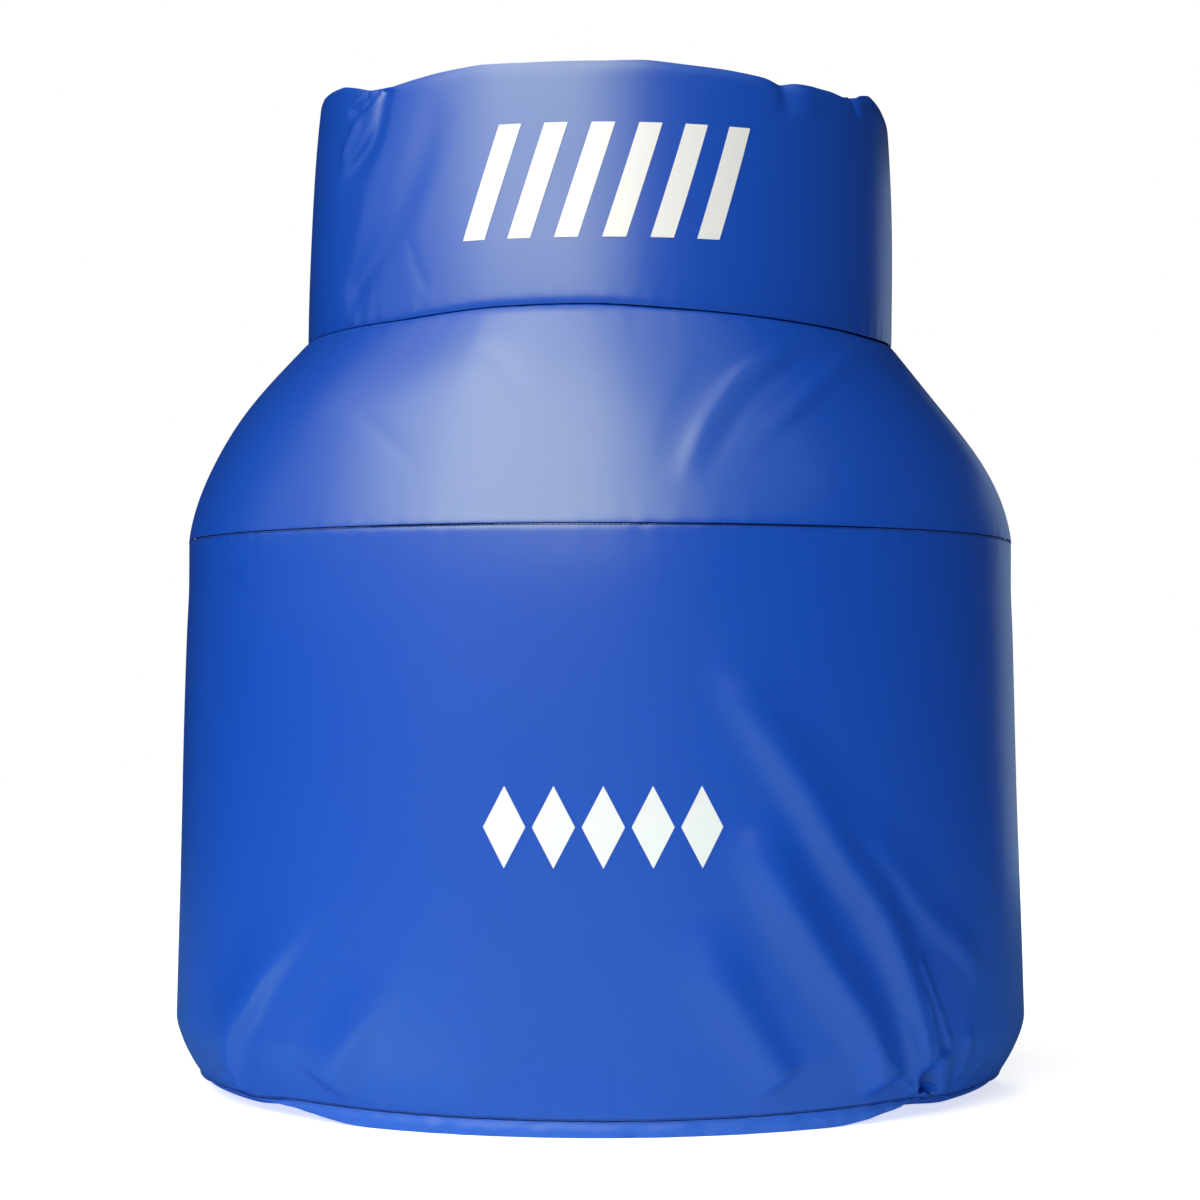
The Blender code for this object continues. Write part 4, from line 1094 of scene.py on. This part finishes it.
@dataclass
class Gussets:
    """Top, bottom and rear strips that close the cover."""

    form: PadForm
    cover: FrontCover
    lip_front: float = 0.0010
    lip_side: float = 0.016
    edge: float = 0.0020
    flat_share: float = 0.35
    foot: float = 0.0025
    head_room: float = 0.0022

    def build(self, finish: Material, bounce_lit_hem_finish: Material) -> None:
        """Build the four gussets."""
        self.build_top(finish)
        # The bottom gusset takes the hem vinyl, whose lighter colour is painted floor bounce
        # light.
        self.build_bottom(bounce_lit_hem_finish)
        for side in Side:
            self.build_side(side, finish)

    def keep(self, piece: Piece, node: str) -> None:
        """Stand a piece in for a node of the cover."""
        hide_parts(node)
        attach(piece, PAD_BODY)
        LOG.info("%s: %d faces", node, len(piece.data.polygons))

    def build_top(self, finish: Material) -> None:
        """Nearly flat top whose edges follow the rim and the lining."""
        form = self.form
        angles = np.radians(np.linspace(0, 180, 181))
        shares = crowded(28, 0.7)
        angle = np.broadcast_to(angles, (len(shares), len(angles)))
        share = np.broadcast_to(shares[:, None], angle.shape)
        rim = self.cover.rim(angle)
        outer = form.outside(angle, rim, self.cover.neck_relief(angle, rim) - form.sheet - 0.0003)
        inner = form.inside(angle, form.height + 0 * angle, -form.sheet - 0.0003)
        points = inner * (1 - share[..., None]) + outer * share[..., None]
        crown = 4 * share * (1 - share)
        arc = angle * form.neck_depth
        wave = Ripples(51, (0.08, 0.2), (0.1, 0.3)).over(arc, share * 0.08)
        base = form.height + (rim - form.height) * share**3 - 0.0012 * (1 - crown)
        points[..., 2] = base + (0.0004 * wave - 0.0008) * crown - 0.0001
        back = points.copy()
        back[..., 2] -= form.sheet - 0.0004
        uv = np.stack([arc, share * 0.08], axis=-1)
        self.keep(slab_object("top_gusset_cover", points, back, uv, finish), "top_gusset")

    def build_bottom(self, finish: Material) -> None:
        """Flat bottom whose puckered lip turns up to the hem seam."""
        form = self.form
        angles = drawn_to(300, ((136.5, 10, 1.5), (37, 10, 0.8)))
        bend = self.flat_share
        flat, raised = np.linspace(0, bend, 10, endpoint=False), np.linspace(bend, 1, 22)
        shares = np.concatenate([flat, raised])
        angle = np.broadcast_to(angles, (len(shares), len(angles)))
        share = np.broadcast_to(shares[:, None], angle.shape)
        arc = angle * form.body_depth
        hem = form.hem(angle) - 0.0004
        lip = self.lip_front + (self.lip_side - self.lip_front) * np.cos(angle) ** 2
        turn = np.pi / 2 * np.clip((share - bend) / (1 - bend), 0, 1)
        puckers = Ripples(61, (0.016, 0.060), (0.02, 0.05)).over(arc, share * 0.02)
        fine = Ripples(63, (0.007, 0.018), (0.02, 0.05)).over(arc, share * 0.02)
        stand = (0.0009 * puckers + 0.00025 * fine) * np.sin(2 * turn)
        dip = -0.0022 * fall(1 - share, 0.16, 2)
        lift = form.lift(angle)

        def layer(depth: float) -> Grid:
            """Points of the strip at a depth under its outside."""
            inset = lip * (1 - np.sin(turn)) + depth * np.sin(turn)
            rolled = form.outside(angle, hem, stand + dip - inset)
            rolled[..., 2] = hem - (hem - lift - depth) * np.cos(turn)
            inner = form.inside(angle, 0.0 * angle)
            start = form.outside(angle, hem, -lip + 0.0 * angle)
            reach = np.clip(share / bend, 0, 1)
            flat = inner * (1 - reach[..., None]) + start * reach[..., None]
            flat[..., 2] = depth + lift * reach
            return np.where(share[..., None] < bend, flat, rolled)

        uv = np.stack([arc, share * 0.06], axis=-1)
        piece = slab_object("bottom_gusset_cover", layer(0.0), layer(form.sheet), uv, finish)
        self.keep(piece, "bottom_gusset")

    def build_side(self, side: Side, finish: Material) -> None:
        """Flat rear end of the shell, slightly cushioned between its seams."""
        form = self.form
        rows, columns = 170, 26
        share = np.broadcast_to(crowded(columns - 1, 0.6), (rows, columns))
        rear_angle = 0.0 if side is Side.LEFT else math.pi
        top = form.height + (float(self.cover.rim(np.array(rear_angle))) - form.height) * share**3
        rise = top - self.head_room - self.foot
        z = self.foot + rise * np.linspace(0, 1, rows)[:, None]
        level = np.clip(z, form.body_seam, form.neck_seam + 0.003)
        inner = form.half_width(level) - form.foam(level) + self.edge
        low = np.clip((form.hem_front + form.hem_rise - z) / 0.016, 0, 1)
        outer = form.half_width(z) - form.tuck(0 * z, z) - self.edge - 0.012 * low
        x = inner + (outer - inner) * share
        crown = (4 * share * (1 - share)) ** 0.6
        wave = Ripples(71 + side.value, (0.05, 0.14), (0.06, 0.2)).over(x, z)
        y = form.rear - 0.0010 + crown * (0.0007 + 0.00025 * wave)
        across = side.value * x + form.sway * form.up(z)
        front = np.stack([across, y, z], axis=-1)
        back = np.stack([across, y - form.sheet, z], axis=-1)
        uv = np.stack([x, z], axis=-1)
        piece = slab_object(f"{side.word}_side_gusset_cover", front, back, uv, finish)
        for level in ("lower", "upper"):
            self.punch(piece, f"{side.word}_{level}_vent_eyelet")
        self.keep(piece, f"{side.word}_side_gusset")

    def punch(self, piece: Piece, eyelet: str) -> None:
        """Cut the hole that a vent eyelet's barrel goes through."""
        low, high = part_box(eyelet)
        bpy.ops.object.select_all(action="DESELECT")
        bpy.ops.mesh.primitive_cylinder_add(
            vertices=40,
            radius=0.0057,
            depth=0.02,
            location=(low + high) / 2,
            rotation=(math.pi / 2, 0, 0),
        )
        cut(piece, bpy.context.object, "vent")


@dataclass
class Lining:
    """The cover's side towards the wearer."""

    form: PadForm
    gap: float = 0.0004
    reach: float = 0.0060

    def build(self, finish: Material) -> None:
        """Build the neck, shoulder and two lower panels of the lining."""
        form = self.form
        top = form.neck_seam + 0.003
        front = math.pi / 2
        self.panel("neck_back_panel", top, form.height, (0.0, math.pi), (150, 44), finish)
        self.panel("shoulder_back_panel", form.body_seam, top, (0.0, math.pi), (150, 40), finish)
        seam = 0.0009
        for side in Side:
            angles = (0.0, front - seam) if side is Side.LEFT else (front + seam, math.pi)
            node = f"body_back_panel_{side.word}"
            piece = self.panel(node, form.sheet, form.body_seam, angles, (120, 90), finish)
            self.cut_window(piece, side)

    def panel(
        self,
        node: str,
        low: float,
        high: float,
        angles: tuple[float, float],
        steps: tuple[int, int],
        finish: Material,
    ) -> Piece:
        form = self.form
        shares = crowded(steps[1], 0.7)[:, None]
        angle = np.broadcast_to(np.linspace(*angles, steps[0] + 1), (len(shares), steps[0] + 1))
        z = low + self.gap + (high - low - 2 * self.gap) * shares + 0 * angle
        arc = angle * form.body_depth
        at_seams = fall(z - low, self.reach, 2) + fall(high - z, self.reach, 2)
        edge = np.minimum(angle, math.pi - angle) / math.radians(8)
        calm = np.clip(edge, 0, 1) * np.clip(np.abs(np.degrees(angle) - 90) / 8, 0, 1)
        wave = Ripples(len(node), (0.06, 0.22), (0.08, 0.3)).over(arc, z)
        stand = (0.0008 * wave + 0.0006) * calm * (1 - np.clip(at_seams, 0, 1)) - 0.0006 * at_seams
        front = form.inside(angle, z, stand)
        back = form.inside(angle, z, stand - form.sheet * 0.8)
        uv = np.stack([arc, z], axis=-1)
        piece = slab_object(f"{node}_cloth", front, back, uv, finish)
        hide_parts(node)
        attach(piece, PAD_BODY)
        LOG.info("%s: %d faces", node, len(piece.data.polygons))
        return piece

    def cut_window(self, piece: Piece, side: Side) -> None:
        """Cut the half of the zip's window that lies in this panel."""
        low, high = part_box(f"zip_tape_{side.word}")
        centre = Vector((0.0, (low.y + high.y) / 2, (low.z + high.z) / 2))
        bpy.ops.object.select_all(action="DESELECT")
        bpy.ops.mesh.primitive_cube_add(size=1.0, location=centre)
        cutter = bpy.context.object
        reach = max(abs(low.x), abs(high.x)) + 0.0003
        cutter.scale = (2 * reach, 0.03, high.z - low.z + 0.0006)
        cut(piece, cutter, "window")


@dataclass
class FoamCore:
    """Outer and inner foam layer, drawn in at their foot, that fill the cover."""

    form: PadForm
    setback: float = 0.0125
    lining_setback: float = 0.0032
    split: float = 0.55
    spine: tuple[float, float] = (78.0, 102.0)

    def build(self, finish: Material) -> None:
        """Build the outer layer's three blocks, and the inner one's two wings and spine."""
        near, far = self.split - 0.004, self.split + 0.004
        left, right = self.spine
        seam = self.form.body_seam
        body = np.concatenate([np.linspace(0.014, 0.06, 12), np.linspace(0.07, seam, 40)])
        shoulder_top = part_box("foam_outer_shoulder")[1].z
        shoulder = np.linspace(seam + 0.0003, shoulder_top, 18)
        neck = np.linspace(shoulder_top + 0.0003, self.form.height - 0.014, 18)
        whole = np.concatenate([body, shoulder, neck])
        blocks = (
            ("foam_outer_body", (0.0, near), (0.8, 179.2), body),
            ("foam_outer_shoulder", (0.0, near), (0.8, 179.2), shoulder),
            ("foam_outer_neck", (0.0, near), (0.8, 179.2), neck),
            ("foam_inner_left", (far, 1.0), (0.8, left - 0.08), whole),
            ("foam_inner_spine", (far, 1.0), (left, right), whole),
            ("foam_inner_right", (far, 1.0), (right + 0.08, 179.2), whole),
        )
        for node, shares, span, levels in blocks:
            front, uv = self.face(shares[0], span, levels)
            back, _ = self.face(shares[1], span, levels)
            piece = slab_object(f"{node}_block", front, back, uv, finish)
            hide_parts(node)
            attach(piece, PAD_BODY)
            LOG.info("%s: %d faces", node, len(piece.data.polygons))

    def face(self, share: float, span: tuple[float, float], levels: Grid) -> tuple[Grid, Grid]:
        """Points at one share of the thickness, 0 outside and 1 towards the wearer.

        Args:
            share: Share of the thickness.
            span: First and last angle of the block in degrees.
            levels: Heights of the block's rows.

        Returns:
            The points and their surface coordinates.
        """
        form = self.form
        angles = np.radians(np.linspace(*span, max(8, round(span[1] - span[0]))))
        angle = np.broadcast_to(angles, (len(levels), len(angles)))
        z = np.broadcast_to(levels[:, None], angle.shape)
        lip = 0.022 * np.clip((0.035 - z) / 0.021, 0, 1) ** 2
        outer = form.outside(angle, z, -self.setback - lip)
        inner = form.inside(angle, z, -form.sheet - self.lining_setback)
        points = outer * (1 - share) + inner * share
        return points, np.stack([angle * form.body_depth, z], axis=-1)


@dataclass
class SeamWork:
    """Threads and backing strips of the sewn seams."""

    cover: FrontCover
    stitch: float = 0.0030
    pitch: float = 0.0036
    thread: float = 0.00042

    def build(self, thread: Material, backing: Material) -> None:
        """Build the backing behind the seams and the visible stitches."""
        form = self.cover.form
        self.backing("body_seam_backing", lambda a: form.body_seam + 0 * a, 0.0058, backing)
        self.backing("neck_seam_backing", form.neck_line, 0.0092, backing)
        self.backing("hem_seam_backing", form.hem, 0.0046, backing)
        self.row("body_seam_stitches", lambda a: form.body_seam - 0.0011 + 0 * a, thread)
        self.row("hem_seam_stitches", lambda a: form.hem(a) + 0.0012, thread)
        for side in Side:
            self.side_row(side, thread)

    def backing(
        self, name: str, line: HeightAt, depth: float, finish: Material
    ) -> None:
        """Strip of folded seam allowance behind a seam's gap."""
        form = self.cover.form
        angle, up = np.meshgrid(np.radians(np.linspace(0.6, 179.4, 240)), np.linspace(-1, 1, 5))
        z = line(angle) + 0.0045 * up
        tuck = form.tuck(angle, line(angle)) - form.tuck(angle, z)
        front = form.outside(angle, z, -depth - tuck)
        back = form.outside(angle, z, -depth - tuck - 0.0005)
        uv = np.stack([angle * form.body_depth, z], axis=-1)
        piece = slab_object(name, front, back, uv, finish)
        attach(piece, PAD_BODY)

    def row(self, name: str, line: HeightAt, finish: Material) -> None:
        """Row of stitches on the body that follows a seam round the front."""
        form = self.cover.form
        count = int(math.pi * form.body_depth / self.pitch)
        angles = np.linspace(0.03, math.pi - 0.03, count)
        half = self.stitch / 2 / form.body_depth
        starts, ends = angles - half, angles + half
        lift = self.thread * 0.3
        first = self.cover.film("body_front_panel", starts, line(starts), lift)
        last = self.cover.film("body_front_panel", ends, line(ends), lift)
        self.threads(name, first, last, finish)

    def side_row(self, side: Side, finish: Material) -> None:
        """Row of stitches up the shoulder's side seam."""
        form = self.cover.form
        heights = np.arange(form.body_seam + 0.008, form.neck_seam - 0.008, self.pitch)
        degrees = form.side_seam if side is Side.LEFT else 180 - form.side_seam
        angle = np.full_like(heights, math.radians(degrees))
        lift = self.thread * 0.3
        first = self.cover.film("shoulder_front_panel", angle, heights, lift)
        last = self.cover.film("shoulder_front_panel", angle, heights + self.stitch, lift)
        self.threads(f"shoulder_side_stitches_{side.word}", first, last, finish)

    def threads(self, name: str, starts: Grid, ends: Grid, finish: Material) -> None:
        """Short threads between pairs of points, thinner at both ends.

        Args:
            name: Name of the piece.
            starts: First points.
            ends: Last points.
            finish: Material of the thread.
        """
        corners = np.radians(np.arange(6) * 60)
        rings = ((0.0, 0.35), (0.2, 1.0), (0.8, 1.0), (1.0, 0.35))
        points, faces = [], []
        for start, end in zip(starts, ends):
            run = end - start
            side = np.cross(run, (0.0, 0.0, 1.0))
            if np.linalg.norm(side) < 1e-9:
                side = np.array((1.0, 0.0, 0.0))
            side = side / np.linalg.norm(side)
            other = np.cross(run, side)
            other = other / np.linalg.norm(other)
            base = len(points)
            for share, width in rings:
                for corner in corners:
                    around = side * math.cos(corner) + other * math.sin(corner)
                    points.append(start + run * share + around * self.thread * width)
            for ring in range(3):
                for i in range(6):
                    low, high = base + 6 * ring, base + 6 * ring + 6
                    faces.append((low + i, low + (i + 1) % 6, high + (i + 1) % 6, high + i))
            faces.append(tuple(base + i for i in reversed(range(6))))
            faces.append(tuple(base + 18 + i for i in range(6)))
        mesh = bpy.data.meshes.new(name)
        mesh.from_pydata([tuple(p) for p in points], [], faces)
        mesh.materials.append(finish)
        mesh.shade_smooth()
        piece = linked(name, mesh)
        outward(mesh)
        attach(piece, PAD_BODY)


@dataclass
class Hardware:
    """Finishes of the CAD nodes that stay: buckles, zip, sleeves, eyelets and webbing."""

    webbing: Material

    def dress(self) -> None:
        """Give each CAD node whose record slot has a finish here that material."""
        finishes = {
            "webbing": self.webbing,
            "rubber": RUBBER.make(),
            "acetal": ACETAL.make(),
            "brass": BRASS.make(),
            "lining_vinyl": PATCH.make(),
        }
        for part in frame["record"]["subparts"]:
            node = frame["nodes"][part["node"]]
            finish = finishes.get(part["material_slot"])
            if finish is None:
                continue
            node.data.materials.clear()
            node.data.materials.append(finish)


@dataclass
class BeltStraps:
    """The right halves of both belts, cut across into short slices."""

    step: float = 0.006
    fixed_end: float = 0.040

    def build(self, finish: Material) -> None:
        """Build the chest's and the waist's strap."""
        for level in ("chest", "waist"):
            self.strap(f"{level}_strap_right", finish)

    def strap(self, node: str, finish: Material) -> None:
        """Stand a supple strap in for a node, between its patch and its buckle.

        Args:
            node: CAD node of the strap.
            finish: Material of the webbing.
        """
        low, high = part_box(node)
        shell = bmesh.new()
        shell.from_mesh(frame["nodes"][node].data)
        for place in np.arange(low.x + self.step, high.x, self.step):
            bmesh.ops.bisect_plane(
                shell,
                geom=[*shell.verts, *shell.edges, *shell.faces],
                plane_co=(place, 0, 0),
                plane_no=(1, 0, 0),
            )
        mesh = bpy.data.meshes.new(f"{node}_webbing")
        shell.to_mesh(mesh)
        shell.free()
        mesh.materials.clear()
        mesh.materials.append(finish)
        piece = linked(f"{node}_webbing", mesh)
        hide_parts(node)
        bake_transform(piece)
        LOG.info("%s: %d faces", node, len(mesh.polygons))


@dataclass(frozen=True)
class Lamp:
    """Soft rectangular light that faces the pad.

    Azimuth is in degrees from straight in front, positive to the right, and elevation in
    degrees above the pad's middle. A radiance of 1 gives the display's white. A lamp for sheen
    only is seen as a reflection and lights nothing; a matt one lights and isn't reflected.
    """

    name: str
    azimuth: float
    elevation: float
    distance: float
    size: tuple[float, float]
    radiance: float
    colour: Colour
    sheen_only: bool = False
    matt_only: bool = False

    def add(self, middle: Vector) -> None:
        """Add the light round the pad's middle."""
        data = bpy.data.lights.new(self.name, "AREA")
        data.shape = "RECTANGLE"
        data.size, data.size_y = self.size
        data.color = self.colour
        data.energy = self.radiance * math.pi * self.size[0] * self.size[1]
        light = linked(self.name, data)
        light.visible_diffuse = not self.sheen_only
        light.visible_glossy = not self.matt_only
        turn, rise = math.radians(self.azimuth), math.radians(self.elevation)
        flat = math.cos(rise)
        away = Vector((math.sin(turn) * flat, -math.cos(turn) * flat, math.sin(rise)))
        light.location = middle + away * self.distance
        light.rotation_euler = away.to_track_quat("Z", "Y").to_euler()


LAMPS = (
    Lamp("key_softbox", -25.5, 43, 3.0, (2.25, 2.9), 1.84, WARM),
    Lamp("key_surround", -26, 42, 3.05, (3.9, 3.0), 1.31, WARM),
    Lamp("key_wings", -31, 40, 3.1, (5.4, 3.0), 0.92, WARM),
    Lamp("top_panel", -12, 80, 3.0, (2.6, 1.5), 1.05, WARM, sheen_only=True),
    Lamp("left_panel", -88, 58, 3.1, (2.2, 2.0), 0.7, WARM, sheen_only=True),
    Lamp("left_fill", -85, 25, 3.1, (2.2, 2.0), 0.38, COOL),
    Lamp("side_panel", 48, 50, 3.2, (2.0, 1.3), 0.32, (0.7, 1.0, 0.9), sheen_only=True),
    Lamp("right_fill", 118, 15, 3.2, (3.0, 2.4), 0.22, COOL, matt_only=True),
    Lamp("right_rim", 148, 2, 3.0, (1.3, 1.6), 0.48, (0.62, 0.86, 1.2)),
    Lamp("rear_fill", 180, 8, 3.0, (1.4, 1.6), 8.0, WHITE, matt_only=True),
    Lamp("rear_glints", 180, 5, 3.0, (0.8, 1.1), 3.0, WHITE, sheen_only=True),
)


@dataclass
class Studio:
    """White floor, soft lights and the camera of the photograph."""

    form: PadForm
    camera_height: float = 0.3251
    camera_distance: float = 2.42
    focal_px: float = 2894.0
    frame_px: float = 1200.0
    horizon_px: float = 690.0
    sensor: float = 36.0
    ambient: tuple[float, float] = (0.20, 0.01)
    # Painted bounce light: the floor's colour is lit_floor near the patch and dim_floor past it,
    # and near the patch it glows in the bounce colour for diffuse rays only.
    lit_floor: float = 1.0
    dim_floor: float = 0.22
    bounce: Colour = (0.14, 0.52, 0.54)
    # Painted reflection: reflected rays see the floor in these tints, bright round the glint spot,
    # which puts a painted glint and bluish sheen on the pad's lower body.
    floor_glints: tuple[Colour, Colour] = ((0.40, 0.66, 0.80), (0.06, 0.14, 0.26))
    sky: Colour = (0.80, 0.88, 1.0)
    patch: Point = (-0.16, -0.57, 0.0)
    glint_spot: Point = (-0.44, -0.34, 0.0)

    def build(self) -> None:
        """Set the camera, the lights, the world and the floor."""
        self.add_camera()
        middle = Vector((0.0, 0.0, self.form.height / 2))
        for lamp in LAMPS:
            lamp.add(middle)
        self.add_world()
        self.add_floor()
        bpy.context.scene.view_settings.view_transform = "Standard"

    def add_camera(self) -> None:
        """Place the camera in front of the pad, level, its frame shifted up."""
        data = bpy.data.cameras.new("camera")
        data.sensor_width = self.sensor
        data.lens = self.focal_px / self.frame_px * self.sensor
        data.shift_y = (self.horizon_px - self.frame_px / 2) / self.frame_px
        data.dof.use_dof = False
        camera = linked("camera", data)
        camera.location = (0.0, self.form.rear - self.camera_distance, self.camera_height)
        camera.rotation_euler = (math.pi / 2, 0.0, 0.0)
        bpy.context.scene.camera = camera

    def add_world(self) -> None:
        """White to the camera and through clear matter, dim for the light that it gives."""
        world = bpy.data.worlds.new("studio")
        bpy.context.scene.world = world
        graph = NodeGraph(world)
        rays = {0: graph.ray("Camera"), 1: graph.ray("Transmission")}
        seen = graph.output("ShaderNodeMath", rays, operation="MAXIMUM")
        matt, glossy = self.ambient
        strength = graph.output(
            "ShaderNodeMapRange",
            {"Value": graph.ray("Glossy"), "To Min": matt, "To Max": glossy},
            "Result",
        )
        sky = (*self.sky, 1.0)
        dim = graph.output("ShaderNodeBackground", {"Color": sky, "Strength": strength})
        white = graph.output("ShaderNodeBackground", {"Color": (*WHITE, 1.0), "Strength": 1.0})
        blend = graph.output("ShaderNodeMixShader", {0: seen, 1: dim, 2: white})
        graph.node("ShaderNodeOutputWorld", {0: blend})

    @staticmethod
    def beyond(graph: NodeGraph, centre: Point, near: float, far: float) -> Signal:
        """0 within a near distance of a place on the floor, and 1 past a far one."""
        distance = graph.output(
            "ShaderNodeVectorMath",
            {0: graph.coordinates("Object"), 1: centre},
            "Value",
            operation="DISTANCE",
        )
        inputs = {"Value": distance, "From Min": near, "From Max": far}
        return graph.output("ShaderNodeMapRange", inputs)

    def add_floor(self) -> None:
        """Floor that the camera sees as white, and that shows painted reflection and painted
        bounce light by its place.
        """
        graph = NodeGraph.of_material("white_floor")
        # Painted bounce light: a pale pool round the patch, and a glow there that only diffuse
        # rays see.
        dim = self.beyond(graph, self.patch, 0.50, 1.4)
        painted_bounce_pool = graph.mix(dim, (self.lit_floor,) * 3, (self.dim_floor,) * 3)
        # Painted reflection: the floor's tint for reflected rays, bright near the glint spot.
        painted_reflection_tone = graph.mix(self.beyond(graph, self.glint_spot, 0.10, 0.30), *self.floor_glints)
        far = self.beyond(graph, (0.0, 0.0, 0.0), 0.45, 1.0)
        glow = graph.mix(far, (0.66, 0.66, 0.66), (1.1, 1.1, 1.1))
        lit = (1.0 - dim) * graph.ray("Diffuse")
        bounce = graph.mix(lit, (0.0, 0.0, 0.0), self.bounce)
        graph.surface(
            {
                "Base Color": graph.mix(graph.ray("Glossy"), painted_bounce_pool, painted_reflection_tone),
                "Roughness": 0.9,
                "Specular IOR Level": 0.0,
                "Emission Color": graph.mix(graph.ray("Camera"), bounce, glow),
                "Emission Strength": 1.0,
            }
        )
        bpy.ops.object.select_all(action="DESELECT")
        bpy.ops.mesh.primitive_plane_add(size=16.0, location=(0.0, 0.0, -0.0002))
        floor = bpy.context.object
        floor.name = "studio_floor"
        floor.data.materials.append(graph.holder)


def main() -> None:
    """Dress the pad and set the studio."""
    logging.basicConfig(level=logging.INFO, format="%(name)s: %(message)s")
    form = PadForm.from_frame()
    cover = FrontCover(form)
    vinyl = VINYL.make()
    cover.build(vinyl)
    Prints(cover).build(PRINT.make())
    Gussets(form, cover).build(vinyl, BOUNCE_LIT_HEM_VINYL.make())
    Lining(form).build(LINING.make())
    FoamCore(form).build(FOAM.make())
    SeamWork(cover).build(THREAD.make(), vinyl)
    webbing = WEBBING.make()
    BeltStraps().build(webbing)
    Hardware(webbing).dress()
    Studio(form).build()


if __name__ == "__main__":
    main()
